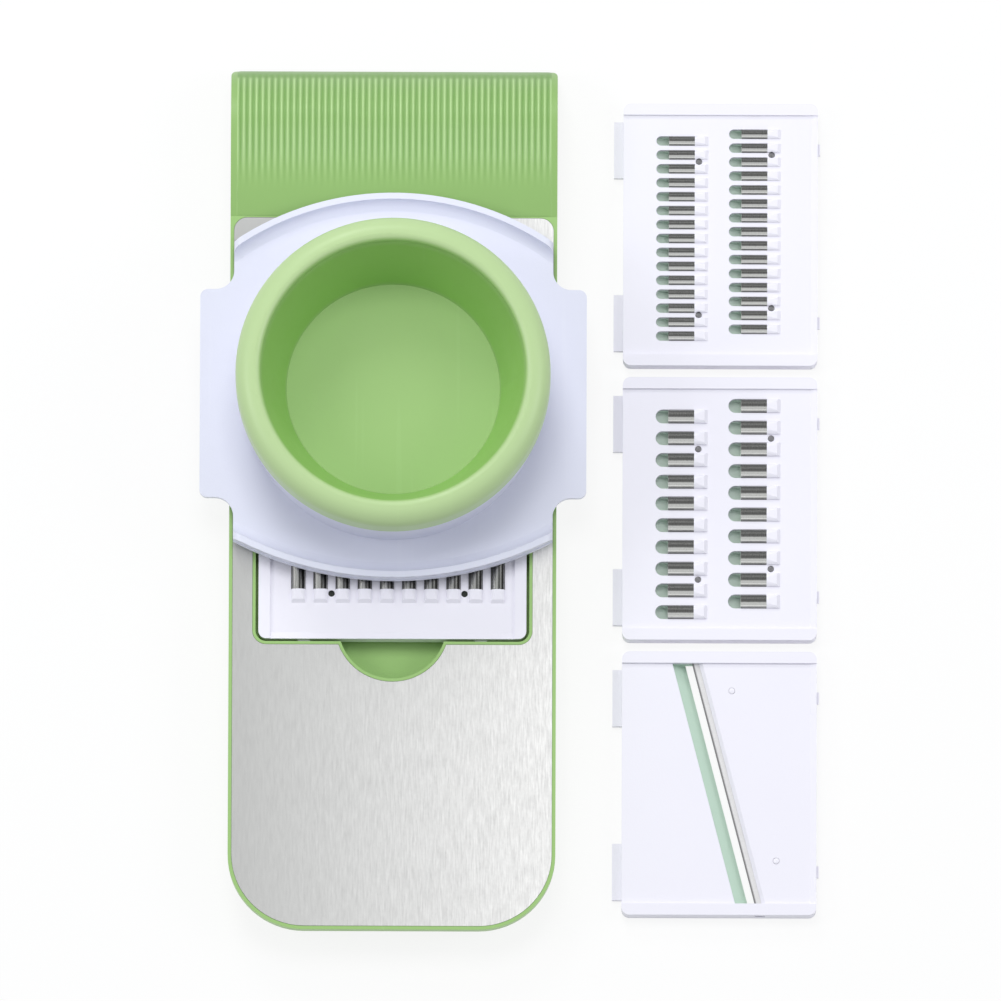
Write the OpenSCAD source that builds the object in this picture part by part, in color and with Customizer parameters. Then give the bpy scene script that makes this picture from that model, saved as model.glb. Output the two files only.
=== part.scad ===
/* [Body] */
// Width of the body and of the handle
body_w = 124; // [118:1:140]
// Length from the front edge to the end of the handle
body_l = 335; // [325:1:360]
// Height of the deck's top above the table
deck_h = 22; // [21:0.5:28]
// Thickness of the deck's rim
rim_t = 4; // [3.5:0.25:5]
// Radius of the two front corners in plan
corner_r = 29; // [15:0.5:35]
// Wall thickness of the plastic mouldings
wall = 2.5; // [2:0.1:3]
// How far the skirt is set in from the deck's edge
skirt_inset = 6; // [5:0.5:8]
// Height of the rubber foot under the skirt and the handle
foot_h = 2; // [1.5:0.1:3]
// Width of the rubber foot strip
foot_w = 3.6; // [3:0.1:5]

/* [Deck plate] */
// Thickness of the steel deck plate
plate_t = 0.6; // [0.5:0.1:1]
// Plastic margin left at the plate's front and sides
plate_margin = 1.4; // [1:0.1:2]
// Plastic margin left behind the plate
plate_rear_margin = 0.5; // [0.4:0.1:2]
// Radius of the plate's two rear corners
plate_rear_r = 5; // [3:0.5:8]
// Width of the plastic bezel round the opening
bezel_w = 1.1; // [0.8:0.1:1.6]
// Gap between the plate and the plastic round it
plate_gap = 0.15; // [0.1:0.05:0.3]

/* [Insert seat] */
// Deck length in front of the insert
front_run = 112; // [105:1:120]
// Gap between an insert and the opening's walls
insert_gap = 1.1; // [0.8:0.1:1.3]
// Width of the ledge that carries the insert
ledge_w = 3.5; // [3:0.1:4.5]
// Radius of the finger notch in front of the insert
notch_r = 20.5; // [16:0.5:24]
// How far the finger notch reaches in front of the insert
notch_reach = 15.4; // [11:0.2:17]
// How far the notch floor reaches under the insert
notch_under = 8; // [6:0.5:10]
// Depth of the finger notch under the deck's top
notch_depth = 11; // [10:0.25:13]

/* [Handle] */
// Length of the handle from the deck plate to its end
handle_l = 60; // [56:0.5:66]
// Height of the handle's crest above the deck
crest_rise = 4; // [3.5:0.1:5]
// Radius of the handle's two end corners in plan
handle_corner_r = 4; // [2:0.25:6]
// Distance between two grip grooves
groove_pitch = 2.38; // [2.2:0.02:3]
// Width of a grip groove
groove_w = 1.7; // [1.4:0.05:1.8]
// Depth of a grip groove
groove_d = 0.45; // [0.3:0.05:0.55]
// Smooth margin at each side of the grooves
groove_margin = 2.8; // [2:0.1:5]
// Angle at which the grooves start above the handle's end
groove_start = 22; // [10:1:35]
// Length of the grooves in front of the crest
groove_run = 24; // [18:0.5:28]

/* [Handle fixing] */
// Shank diameter of the handle's screws
screw_d = 3; // [2.5:0.1:3.5]
// Head diameter of the handle's screws
screw_head_d = 6; // [5:0.1:7]
// Head height of the handle's screws
screw_head_h = 2.2; // [1.8:0.1:2.6]
// Outer diameter of the screw bosses
boss_d = 8; // [7:0.5:10]
// Distance between the two screws across the handle
screw_span = 76; // [60:1:90]
// Length of the body's tongue under the handle
tongue_l = 22; // [18:1:28]
// Thickness of that tongue
tongue_t = 3; // [2.5:0.1:4]
// Length of the handle's screws under their heads
screw_l = 7; // [6.5:0.25:9]
// Length of a foot pad under the handle
foot_pad_l = 14; // [10:0.5:20]
// Width of a foot pad under the handle
foot_pad_w = 4.5; // [3.5:0.25:6]

/* [Inserts] */
// Width of every insert
insert_w = 101.5; // [98:0.5:104]
// Length of every insert
insert_l = 73.8; // [72:0.2:78]
// Height of every insert
insert_h = 7.3; // [7:0.1:8]
// Corner radius of an insert in plan
insert_r = 3; // [2:0.25:4]
// Width of the raised rail at each side of an insert
rail_w = 4.4; // [3.5:0.1:5]
// Height of that rail above the insert's face
rail_h = 1.2; // [0.8:0.1:1.4]
// Thickness of the insert's face plate
face_t = 2; // [1.6:0.1:2.4]
// Width of a rear tab
tab_w = 21.7; // [16:0.1:24]
// Distance of a rear tab's centre from the middle
tab_x = 33.5; // [30:0.5:36]
// How far a rear tab stands out
tab_out = 3.6; // [3:0.1:4.5]
// Thickness of a rear tab
tab_t = 2.4; // [2:0.1:3]
// How far a front nub stands out
nub_out = 0.9; // [0.6:0.1:1]
// Length of a front nub
nub_w = 4.5; // [3:0.5:6]
// Height of a front nub
nub_h = 1.2; // [0.8:0.1:1.6]
// Thickness of an insert's outer wall
skirt_t = 1.6; // [1.2:0.1:2]

/* [Grating teeth] */
// Distance from the rear edge to the first row's slots
slot_start = 12.5; // [11:0.25:14]
// Open length of a slot in front of its tooth
slot_open = 4.8; // [4:0.1:5.4]
// Length of a steel tooth
tooth_l = 9.8; // [8:0.1:10.5]
// Length of the plastic ramp behind a tooth
ramp_l = 5.3; // [4:0.1:6]
// Length of the ramp's rounded end
ramp_end = 1.4; // [1:0.1:2]
// Distance between the two rows
row_pitch = 27.6; // [26:0.1:30]
// Thickness of the steel
steel_t = 0.5; // [0.4:0.05:0.7]
// Length of the strip's flange behind its teeth
flange_l = 6; // [5:0.25:7]
// Number of coarse teeth in a row
coarse_n = 10; // [8:1:11]
// Distance between two coarse teeth
coarse_pitch = 8.4; // [7.8:0.05:8.4]
// Width of a coarse tooth
coarse_w = 5.1; // [4.4:0.1:5.4]
// Height of a coarse tooth above the face
coarse_rise = 1.8; // [1.4:0.1:2.2]
// Number of fine teeth in a row
fine_n = 15; // [12:1:16]
// Distance between two fine teeth
fine_pitch = 5.4; // [4.8:0.05:5.4]
// Width of a fine tooth
fine_w = 3.4; // [2.8:0.1:3.5]
// Height of a fine tooth above the face
fine_rise = 1.3; // [1:0.1:1.5]
// Radius of a rivet's shank
rivet_r = 0.9; // [0.7:0.05:1]
// Radius of a rivet's head
rivet_head_r = 1.15; // [1:0.05:1.3]

/* [Slicing insert] */
// Slant of the slicing mouth
mouth_angle = 14.5; // [8:0.5:18]
// Width of the slicing mouth
mouth_w = 7.2; // [6:0.1:8]
// Width of the steel slicing blade
blade_w = 16; // [12:0.5:18]
// Thickness of the slicing blade
blade_t = 1; // [0.8:0.05:1.2]
// Length of the blade's ground bevel
bevel_l = 2.6; // [2:0.1:3.4]
// Distance from the insert's rear edge to the middle of the cutting edge
mouth_back = 38.5; // [34:0.5:42]

/* [Guard] */
// Distance of the guard's centre from the plate's rear edge
guard_park = 69.5; // [66:0.5:76]
// Clearance between the guard's runners and the deck plate
guard_run = 0.1; // [0.05:0.01:0.2]
// Height of the runners under the guard's floor
runner_h = 3; // [2.8:0.1:4]
// Width of a runner
runner_w = 4; // [3:0.25:5]
// Thickness of the guard's floor
guard_t = 2.5; // [2:0.1:3]
// Half width of the guard between its wings
guard_side = 60.5; // [58:0.5:61.5]
// Reach of the guard behind its centre
guard_back = 77; // [72:0.5:78]
// Reach of the guard in front of its centre
guard_front = 72; // [68:0.5:78]
// Radius of the guard's rear edge
guard_back_r = 107; // [95:1:130]
// Radius of the guard's front edge
guard_front_r = 130; // [100:1:150]
// How far a wing stands out past the body's side
wing_out = 11.3; // [8.5:0.1:14]
// Length of a wing
wing_l = 80.4; // [70:0.5:90]
// Corner radius of a wing
wing_r = 3; // [2:0.25:5]
// Radius of the hollow where a wing meets the guard's side
wing_fillet = 7; // [4:0.5:9]
// Height of the raised edge at the guard's front and rear
lip_h = 4.8; // [4:0.1:6]
// Width of the raised edge
lip_w = 2.3; // [1.2:0.1:2.6]
// Radius of the hollow inside the raised edge
cove_r = 5; // [3:0.25:6]
// Half width of the raised edge's level stretch
lip_level = 57; // [56:0.25:57.5]
// Gap between the guard's hooks and the body
hook_gap = 0.3; // [0.2:0.05:0.5]
// Thickness of the guard's hooks
hook_t = 2.4; // [2:0.1:3]
// How far a hook reaches under the deck's rim
hook_in = 3.4; // [2.6:0.1:3.8]

/* [Chute and pusher] */
// Inner radius of the guard's chute
chute_r = 52; // [51:0.25:52.5]
// Outer radius of the chute
chute_outer_r = 57.1; // [56.5:0.1:57.3]
// Height of the chute above the guard's floor
chute_h = 34; // [30:0.5:38]
// How far the chute's centre lies behind the middle of the wings
chute_back = 0.6; // [-2:0.2:2]
// Running clearance between the pusher's sleeve and the chute
pusher_gap = 0.6; // [0.4:0.05:0.8]
// Outer radius of the pusher's rim
rim_r = 59.6; // [59.5:0.1:61]
// Height of the pusher's rim above the chute
rim_h = 10.7; // [10.5:0.1:14]
// How far the rim reaches down over the chute
rim_over = 4.6; // [2:0.2:6]
// Inner radius of the pusher's rim
bowl_top_r = 50; // [48:0.1:50.3]
// Radius of the pusher's floor
bowl_floor_r = 40.4; // [38:0.1:42]
// Height of the pusher's floor above the deck
bowl_floor_z = 11; // [10:0.25:16]
// Thickness of the pusher's walls
pusher_wall = 2; // [1.8:0.05:2.1]
// Rounding of the rim's inner edge
rim_round_in = 2.6; // [2:0.1:3]
// Thickness of the pusher's base disc
base_t = 2.5; // [2:0.1:3]
// Length of the holding pins under the base disc
pin_l = 4.5; // [3:0.1:5]
// Radius of a holding pin
pin_r = 0.9; // [0.7:0.05:1.2]
// Radius of the circle of holding pins
pin_ring_r = 30; // [20:1:38]
// Number of holding pins in the circle
pin_n = 8; // [6:1:12]
// Length of a pin's point
pin_point = 1.5; // [1:0.1:2]

/* [Loose inserts] */
// Distance from the body's side to the loose inserts
loose_aside = 25.1; // [23:0.1:40]
// Gap between two loose inserts
loose_gap = 4.5; // [3:0.25:12]
// Place of the middle loose insert along the body
loose_y = -2; // [-10:0.5:10]

/* [Hidden] */
$fn = 64;

cut = 1;
lap = 0.01;
seat = 0.1;
press_gap = 0.05;
green = "yellowgreen";
white = "ghostwhite";
steel = "silver";

// Body
front_y = -body_l / 2;
end_y = body_l / 2;
seam_y = end_y - handle_l;
rim_under = deck_h - rim_t;
half_w = body_w / 2;
loose_x = half_w + loose_aside + insert_l / 2;
loose_pitch = insert_w + loose_gap;
plate_end = seam_y - plate_rear_margin;

// Insert seat
seat_front = front_y + front_run;
seat_y = seat_front + insert_l / 2;
insert_z = deck_h - insert_h;
open_w = insert_w + 2 * insert_gap;
open_l = insert_l + 2 * insert_gap;
ledge_top = insert_z - seat;
ledge_under = ledge_top - wall;
face_z = insert_h - rail_h;
notch_y = seat_front - notch_reach + notch_r;
notch_floor = deck_h - notch_depth;
pocket_gap = 0.5;
rib_h = rim_under - ledge_under;
front_rib_y = front_y + front_run / 3;
rear_rib_y = (seat_front + insert_l + seam_y) / 2;

// Handle
curl_r = deck_h + crest_rise;
curl_y = end_y - curl_r;
crest_run = curl_y - seam_y;
crest_r = (crest_run * crest_run + crest_rise * crest_rise) / (2 * crest_rise);
groove_span = body_w - 2 * groove_margin;
groove_n = floor(groove_span / groove_pitch) + 1;
groove_tilt = atan((groove_run * groove_run / (2 * crest_r) - groove_d) / groove_run);
groove_tail = 4;
groove_lap = 4;
comb_back = 0.5;
comb_t = 2;
tongue_top = rim_under - tongue_t;
tongue_under = tongue_top - tongue_t;
tongue_half = screw_span / 2 + boss_d;
tongue_gap = 0.2;
screw_y = seam_y + tongue_l - boss_d / 2 - wall;
screw_hole_d = screw_d + 2 * press_gap;
screw_top = tongue_under + screw_l;
screw_end_gap = 0.5;
drive_l = 0.6 * screw_head_d;
drive_w = 0.8;
foot_pad_r = 2;
foot_pad_in = 0.4;

// Inserts
carrier_gap = 0.2;
carrier_top = face_z - face_t - steel_t;
carrier_w = insert_w - 2 * (skirt_t + carrier_gap);
carrier_l = insert_l - 2 * (skirt_t + carrier_gap);
carrier_bottom = 0.3;
strip_z = carrier_top;
slot_clear = 0.15;
throat_lip = 0.4;
front_slope = 2.5;
arch_share = 0.58;
ramp_share = 0.75;
ramp_drop = 0.75;
edge_angle = 35;
edge_cut = 4;
rivet_back = 1.6;
rivet_head_t = 0.6 * face_t;
rivet_proud = 0.25;

// Slicing insert
edge_y = insert_l / 2 - mouth_back;
mouth_l = (insert_w - 2 * rail_w) / cos(mouth_angle) + 2 * mouth_w;
blade_z = face_z - face_t;
edge_land = 0.1;
blade_rivet_x = insert_w / 3;
blade_rivet_in = 4;

// Guard
guard_y = seam_y - guard_park;
runner_z = deck_h + guard_run;
floor_under = runner_z + runner_h;
floor_top = floor_under + guard_t;
wing_half = half_w + wing_out;
hook_wall = half_w + hook_gap;
lip_step = 0.3;
lip_end_r = guard_side - lip_level + seat;
lip_span = 40;
runner_x = half_w - plate_margin - runner_w;

// Chute and pusher
chute_y = guard_y + chute_back;
chute_top = floor_top + chute_h;
chute_wall = 1.8;
chute_cap = 1.2;
rim_seat = chute_top + seat;
rim_bottom = rim_seat - rim_over;
rim_top = rim_seat + rim_h;
sleeve_r = chute_r - pusher_gap;
bowl_floor = deck_h + bowl_floor_z;
bowl_under = bowl_floor - base_t;
base_under = bowl_under - base_t;
base_r = sleeve_r - pusher_wall - press_gap;
rim_neck = 3;
rim_crest = 0.1;
rim_round = rim_r - bowl_top_r - rim_round_in - rim_crest;
draft_top = rim_top - rim_round_in - rim_neck;
draft = (bowl_top_r - bowl_floor_r) / (draft_top - bowl_floor);

// Turns a profile drawn across Y and Z so that it runs along X
module along_x() {
    rotate([90, 0, 90]) children();
}

// Turns a profile drawn across Z and X so that it runs along Y
module along_y() {
    rotate([90, 0, 90]) rotate([90, 0, 90]) children();
}

// Rectangle with four round corners, centred
module round_rect(w, l, r) {
    square([w, l - 2 * r], center = true);
    square([w - 2 * r, l], center = true);
    for (sx = [-1, 1], sy = [-1, 1])
        translate([sx * (w / 2 - r), sy * (l / 2 - r)]) circle(r);
}

// Plan of the deck with its two round front corners, drawn inside the edge by an inset
module deck_plan(inset, back) {
    w = body_w - 2 * inset;
    r = corner_r - inset;
    y0 = front_y + inset;
    translate([-w / 2, y0 + r]) square([w, back - y0 - r]);
    translate([-w / 2 + r, y0]) square([w - 2 * r, r + cut]);
    for (s = [-1, 1])
        translate([s * (w / 2 - r), y0 + r]) circle(r);
}

// Plan of the opening that takes the insert, grown by an offset
module opening_plan(grow) {
    translate([0, seat_y]) round_rect(open_w + 2 * grow, open_l + 2 * grow, insert_r + insert_gap + grow);
}

// Plan of the finger notch in front of the opening, grown by an offset
module notch_plan(grow) {
    intersection() {
        translate([0, notch_y]) circle(notch_r + grow);
        translate([-notch_r - grow, notch_y - notch_r - grow])
            square([2 * (notch_r + grow), notch_reach + grow + notch_under]);
    }
}

// ---- Body

module skirt_ring(inset, t) {
    difference() {
        deck_plan(inset, seam_y);
        deck_plan(inset + t, seam_y - t);
    }
}

module tab_pockets() {
    for (s = [-1, 1])
        translate([s * tab_x - tab_w / 2 - pocket_gap, seat_y + insert_l / 2 - cut, insert_z - pocket_gap])
            cube([tab_w + 2 * pocket_gap, tab_out + cut + pocket_gap, tab_t + 2 * pocket_gap]);
}

module deck_slab() {
    difference() {
        translate([0, 0, rim_under]) linear_extrude(rim_t) deck_plan(0, seam_y);
        difference() {
            translate([0, 0, deck_h - plate_t]) linear_extrude(plate_t + cut)
                plate_plan(-plate_gap);
            translate([0, 0, deck_h - plate_t - cut]) linear_extrude(plate_t + 3 * cut) {
                opening_plan(bezel_w);
                notch_plan(bezel_w);
            }
        }
    }
}

module insert_well() {
    translate([0, 0, ledge_under]) linear_extrude(rim_under - ledge_under + cut)
        opening_plan(wall);
    translate([0, 0, notch_floor - wall]) linear_extrude(rim_under - notch_floor + wall + cut)
        notch_plan(wall);
}

module cross_rib(y) {
    translate([-half_w + skirt_inset + wall / 2, y, ledge_under])
        cube([body_w - 2 * skirt_inset - wall, wall, rib_h + cut]);
}

module deck_ribs() {
    y0 = front_y + corner_r;
    for (s = [-1, 1])
        translate([s * screw_span / 2 - wall / 2, y0, ledge_under])
            cube([wall, seat_front - insert_gap - wall - y0 + cut, rib_h + cut]);
    cross_rib(front_rib_y);
    cross_rib(rear_rib_y);
}

// Tongue that reaches under the handle, with a clearance hole for each screw
module tongue() {
    difference() {
        translate([-tongue_half, seam_y - wall / 2, tongue_under])
            cube([2 * tongue_half, tongue_l + wall / 2, tongue_t]);
        for (s = [-1, 1])
            translate([s * screw_span / 2, screw_y, tongue_under - cut])
                cylinder(d = screw_d + 2 * tongue_gap, h = tongue_t + 2 * cut);
    }
}

module body_frame() {
    color(green) difference() {
        union() {
            deck_slab();
            translate([0, 0, foot_h]) linear_extrude(rim_under - foot_h + cut)
                skirt_ring(skirt_inset, wall);
            insert_well();
            deck_ribs();
            tongue();
        }
        translate([0, 0, ledge_top]) linear_extrude(deck_h) opening_plan(0);
        translate([0, 0, ledge_under - cut]) linear_extrude(deck_h)
            translate([0, seat_y]) square([insert_w - 2 * ledge_w, insert_l - 2 * ledge_w], center = true);
        translate([0, 0, notch_floor]) linear_extrude(deck_h) notch_plan(0);
        tab_pockets();
    }
}

// Outline of the steel plate without its opening, drawn inside its edge by an inset
module plate_plan(inset) {
    m = plate_margin + inset;
    intersection() {
        deck_plan(m, plate_end - inset);
        translate([0, plate_end - inset - body_l / 2])
            round_rect(body_w - 2 * m, body_l, plate_rear_r - inset);
    }
}

module deck_plate() {
    color(steel) translate([0, 0, deck_h - plate_t]) linear_extrude(plate_t) difference() {
        plate_plan(0);
        opening_plan(bezel_w + plate_gap);
        notch_plan(bezel_w + plate_gap);
    }
}

module base_foot() {
    over = (foot_w - wall) / 2;
    color("dimgray") linear_extrude(foot_h) skirt_ring(skirt_inset - over, foot_w);
}

// ---- Handle

// Side outline of the handle, drawn inside its surface by an inset
module handle_side(inset) {
    intersection() {
        translate([curl_y, 0]) circle(curl_r - inset);
        translate([curl_y, foot_h]) square([curl_r, curl_r]);
    }
    intersection() {
        translate([curl_y, curl_r - crest_r]) circle(crest_r - inset, $fn = 360);
        translate([seam_y, foot_h]) square([crest_run, curl_r]);
    }
}

// Row of groove sections, five flats each, hanging from a backing strip outside the surface
module groove_comb(surface) {
    mouth = 1.25 * groove_w / 2;
    side = 0.8 * groove_w / 2;
    flat = 0.35 * groove_w / 2;
    side_d = 0.4 * groove_d;
    section = [[comb_back, -mouth], [-side_d, -side], [-groove_d, -flat],
        [-groove_d, flat], [-side_d, side], [comb_back, mouth]];
    polygon(concat(
        [[surface + comb_back + comb_t, half_w + cut], [surface + comb_back + comb_t, -half_w - cut],
            [surface + comb_back, -half_w - cut]],
        [for (i = [0 : groove_n - 1], p = section)
            [surface + p[0], (i - (groove_n - 1) / 2) * groove_pitch + p[1]]],
        [[surface + comb_back, half_w + cut]]
    ));
}

module grip_grooves() {
    translate([0, curl_y, 0]) along_x()
        rotate([0, 0, groove_start])
            rotate_extrude(angle = 90 + groove_lap - groove_start) groove_comb(curl_r);
    translate([0, curl_y, curl_r]) rotate([groove_tilt, 0, 0]) along_y()
        translate([0, 0, -groove_run - groove_tail])
            linear_extrude(groove_run + groove_tail + groove_lap / 4) groove_comb(0);
}

module handle_bosses() {
    for (s = [-1, 1])
        translate([s * screw_span / 2, screw_y, tongue_top])
            cylinder(d = boss_d, h = deck_h - tongue_top);
}

module handle_plan() {
    translate([-half_w, seam_y]) {
        square([body_w, handle_l - handle_corner_r]);
        translate([handle_corner_r, 0]) square([body_w - 2 * handle_corner_r, handle_l]);
        for (x = [handle_corner_r, body_w - handle_corner_r])
            translate([x, handle_l - handle_corner_r]) circle(handle_corner_r);
    }
}

// Hollow under the handle, behind its front wall
module handle_inside() {
    intersection() {
        translate([curl_y, 0]) circle(curl_r - wall);
        translate([curl_y, 0]) square([curl_r, curl_r]);
    }
    intersection() {
        translate([curl_y, curl_r - crest_r]) circle(crest_r - wall, $fn = 360);
        translate([seam_y + wall, 0]) square([crest_run - wall, curl_r]);
    }
}

module handle_hollow() {
    along_x() translate([0, 0, -half_w + wall]) linear_extrude(body_w - 2 * wall) children();
}

module handle_shell() {
    color(green) difference() {
        union() {
            difference() {
                intersection() {
                    along_x() translate([0, 0, -half_w]) linear_extrude(body_w) handle_side(0);
                    linear_extrude(2 * curl_r) handle_plan();
                }
                handle_hollow() handle_inside();
            }
            intersection() {
                handle_bosses();
                handle_hollow() handle_side(wall / 2);
            }
        }
        grip_grooves();
        translate([-tongue_half - tongue_gap, seam_y - cut, tongue_under - tongue_gap])
            cube([2 * (tongue_half + tongue_gap), wall + 2 * cut, tongue_t + 2 * tongue_gap]);
        for (s = [-1, 1])
            translate([s * screw_span / 2, screw_y, tongue_top - cut])
                cylinder(d = screw_hole_d, h = screw_top - tongue_top + screw_end_gap + cut);
    }
}

module handle_foot() {
    color("dimgray")
        for (s = [-1, 1])
            translate([s * (half_w - foot_pad_in - foot_pad_w / 2), curl_y, 0])
                linear_extrude(foot_h) round_rect(foot_pad_w, foot_pad_l, foot_pad_r);
}

module handle_screws() {
    color(steel)
        for (s = [-1, 1])
            translate([s * screw_span / 2, screw_y, tongue_under]) {
                cylinder(d = screw_d, h = screw_l);
                difference() {
                    translate([0, 0, -screw_head_h]) cylinder(d = screw_head_d, h = screw_head_h);
                    for (a = [0, 90])
                        rotate([0, 0, a]) translate([0, 0, -screw_head_h])
                            cube([drive_l, drive_w, screw_head_h], center = true);
                }
            }
}

// ---- Guard

module guard_plan() {
    intersection() {
        square([2 * guard_side, 2 * (guard_back + guard_front)], center = true);
        translate([0, guard_back - guard_back_r]) circle(guard_back_r);
        translate([0, guard_front_r - guard_front]) circle(guard_front_r);
    }
    round_rect(2 * wing_half, wing_l, wing_r);
    for (side = [0, 1], end = [0, 1])
        mirror([side, 0]) mirror([0, end]) translate([guard_side, wing_l / 2]) difference() {
            translate([-cut, -cut]) square(wing_fillet + cut);
            translate([wing_fillet, wing_fillet]) circle(wing_fillet);
        }
}

// Section of the raised edge: a lip with a hollow on its inner side
module lip_section(r) {
    difference() {
        translate([r - lip_w - cove_r, -guard_t / 2]) square([lip_w + cove_r, lip_h + guard_t / 2]);
        translate([r - lip_w - cove_r, cove_r - seat]) circle(cove_r);
    }
}

// Side view of the raised edge, level across the guard and rounded down at both ends
module lip_ends() {
    translate([-lip_level, -guard_t]) square([2 * lip_level, lip_h + guard_t]);
    for (s = [-1, 1])
        intersection() {
            translate([s * lip_level, lip_h - lip_end_r]) circle(lip_end_r);
            translate([s * (lip_level + guard_side) / 2, 0])
                square([guard_side - lip_level, 2 * guard_t + 2 * lip_h], center = true);
        }
}

module raised_edges() {
    intersection() {
        union() {
            translate([0, guard_back - guard_back_r, 0]) rotate([0, 0, 90 - lip_span])
                rotate_extrude(angle = 2 * lip_span) lip_section(guard_back_r - lip_step);
            translate([0, guard_front_r - guard_front, 0]) rotate([0, 0, 270 - lip_span])
                rotate_extrude(angle = 2 * lip_span) lip_section(guard_front_r - lip_step);
        }
        rotate([90, 0, 0]) translate([0, 0, -guard_back - cut])
            linear_extrude(guard_back + guard_front + 2 * cut) lip_ends();
    }
}

module guard_hooks() {
    hook_under = rim_under - hook_gap - hook_t;
    hook_l = wing_l - 2 * wing_r;
    arm_w = hook_in + hook_gap + hook_t;
    for (side = [0, 1])
        mirror([side, 0, 0]) {
            translate([hook_wall, -hook_l / 2, hook_under])
                cube([hook_t, hook_l, floor_under - hook_under + cut]);
            translate([hook_wall + hook_t - arm_w, -hook_l / 2, hook_under])
                cube([arm_w, hook_l, hook_t]);
        }
}

module guard_runners() {
    for (s = [-1, 1])
        translate([s * (runner_x + runner_w / 2), 0, runner_z + (runner_h + cut) / 2])
            cube([runner_w, wing_l, runner_h + cut], center = true);
}

// Down-turned edge along the end of each wing
module wing_returns() {
    for (s = [-1, 1])
        translate([s * (wing_half - hook_t / 2), 0, floor_under - runner_h / 2 + cut / 2])
            cube([hook_t, wing_l - 2 * wing_r, runner_h + cut], center = true);
}

module chute_wall_ring() {
    translate([0, chute_back, floor_under])
        cylinder(r = chute_outer_r, h = chute_top - floor_under);
}

// Round way through the guard, with a hollow inside its wall that opens below
module chute_bore() {
    translate([0, chute_back, runner_z - cut]) {
        cylinder(r = chute_r, h = chute_top);
        difference() {
            cylinder(r = chute_outer_r - chute_wall, h = chute_top - runner_z + cut - chute_cap);
            cylinder(r = chute_r + chute_wall, h = chute_top);
        }
    }
}

module guard_carriage() {
    color(white) translate([0, guard_y, 0]) difference() {
        union() {
            translate([0, 0, floor_under]) linear_extrude(guard_t) guard_plan();
            translate([0, 0, floor_top]) raised_edges();
            chute_wall_ring();
            guard_hooks();
            guard_runners();
            wing_returns();
        }
        chute_bore();
    }
}

// ---- Pusher

// Half section of the pusher cup, turned about its axis
module cup_section() {
    difference() {
        union() {
            translate([bowl_top_r + rim_round_in, rim_bottom]) square([rim_crest, rim_top - rim_bottom]);
            translate([bowl_top_r, rim_bottom])
                square([rim_r - bowl_top_r, rim_top - rim_round - rim_bottom]);
            translate([rim_r - rim_round, rim_top - rim_round]) intersection() {
                circle(rim_round);
                translate([-rim_round, -cut]) square([2 * rim_round, rim_round + cut]);
            }
            translate([0, base_under]) square([sleeve_r, draft_top - base_under]);
        }
        bowl_section();
        translate([bowl_top_r - cut, rim_top - rim_round_in]) rim_corner();
        translate([sleeve_r, rim_bottom - cut]) square([rim_r - pusher_wall - sleeve_r, rim_over + cut]);
        translate([-cut, base_under - cut])
            square([sleeve_r - pusher_wall + cut, bowl_under - base_under + cut]);
        polygon([[bowl_floor_r + pusher_wall, bowl_under - cut], [sleeve_r - pusher_wall, bowl_under - cut],
            [sleeve_r - pusher_wall, bowl_floor + (sleeve_r - 2 * pusher_wall - bowl_floor_r) / draft]]);
        translate([-cut, base_under - 2 * cut]) square([cut, rim_top]);
    }
}

module bowl_section() {
    polygon([[-cut, bowl_floor], [bowl_floor_r, bowl_floor], [bowl_top_r, draft_top],
        [bowl_top_r, rim_top + cut], [-cut, rim_top + cut]]);
}

// What the rounding takes off the rim's inner corner
module rim_corner() {
    difference() {
        square([rim_round_in + cut, rim_round_in + cut]);
        translate([rim_round_in + cut, 0]) circle(rim_round_in);
    }
}

module pusher_cup() {
    color(green) translate([0, chute_y, 0]) rotate_extrude() cup_section();
}

module pusher_base() {
    color(white) translate([0, chute_y, base_under]) difference() {
        cylinder(r = base_r, h = base_t);
        pin_places() translate([0, 0, -cut]) cylinder(r = pin_r + press_gap, h = base_t + 2 * cut);
    }
}

module pin_places() {
    children();
    for (i = [0 : pin_n - 1])
        rotate([0, 0, i * 360 / pin_n]) translate([pin_ring_r, 0, 0]) children();
}

module pusher_pins() {
    color(steel) translate([0, chute_y, base_under]) pin_places() {
        translate([0, 0, -pin_l + pin_point]) cylinder(r = pin_r, h = pin_l - pin_point + base_t);
        translate([0, 0, -pin_l]) cylinder(r1 = pin_r / 4, r2 = pin_r, h = pin_point);
    }
}

// ---- Inserts, each drawn with its rear edge at +Y and its underside at zero

// Y of a row's slot ends, measured from the insert's rear edge
function row_y(row) = insert_l / 2 - slot_start - row * row_pitch;
// X of a tooth: the rear row sits a quarter pitch to one side, the front row to the other
function tooth_x(i, n, pitch, row) = (i - (n - 1) / 2) * pitch + (row == 0 ? -1 : 1) * pitch / 4;
// X of a row's two rivets, each between two teeth
function rivet_x(n, pitch, row) = [tooth_x(1.5, n, pitch, row), tooth_x(n - 2.5, n, pitch, row)];
// Y of a row's rivets
function rivet_y(row) = row_y(row) - slot_open - tooth_l - rivet_back;

// Outer section of a tooth: an arch on straight sides
module arch(w, base, top, share) {
    r = share * w;
    spring = top - r + sqrt(r * r - w * w / 4);
    translate([-w / 2, base]) square([w, spring - base]);
    intersection() {
        translate([0, top - r]) circle(r);
        translate([-w / 2, spring - lap]) square([w, r]);
    }
}

module frame_shell() {
    difference() {
        linear_extrude(insert_h) round_rect(insert_w, insert_l, insert_r);
        translate([0, 0, -cut]) linear_extrude(carrier_top + steel_t + cut)
            round_rect(insert_w - 2 * skirt_t, insert_l - 2 * skirt_t, insert_r - skirt_t / 2);
        face_cut();
    }
    for (s = [-1, 1]) {
        translate([s * tab_x - tab_w / 2, insert_l / 2 - skirt_t / 2, 0])
            cube([tab_w, tab_out + skirt_t / 2, tab_t]);
        translate([s * tab_x - nub_w / 2, -insert_l / 2 - nub_out, tab_t])
            cube([nub_w, nub_out + skirt_t / 2, nub_h]);
    }
}

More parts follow.
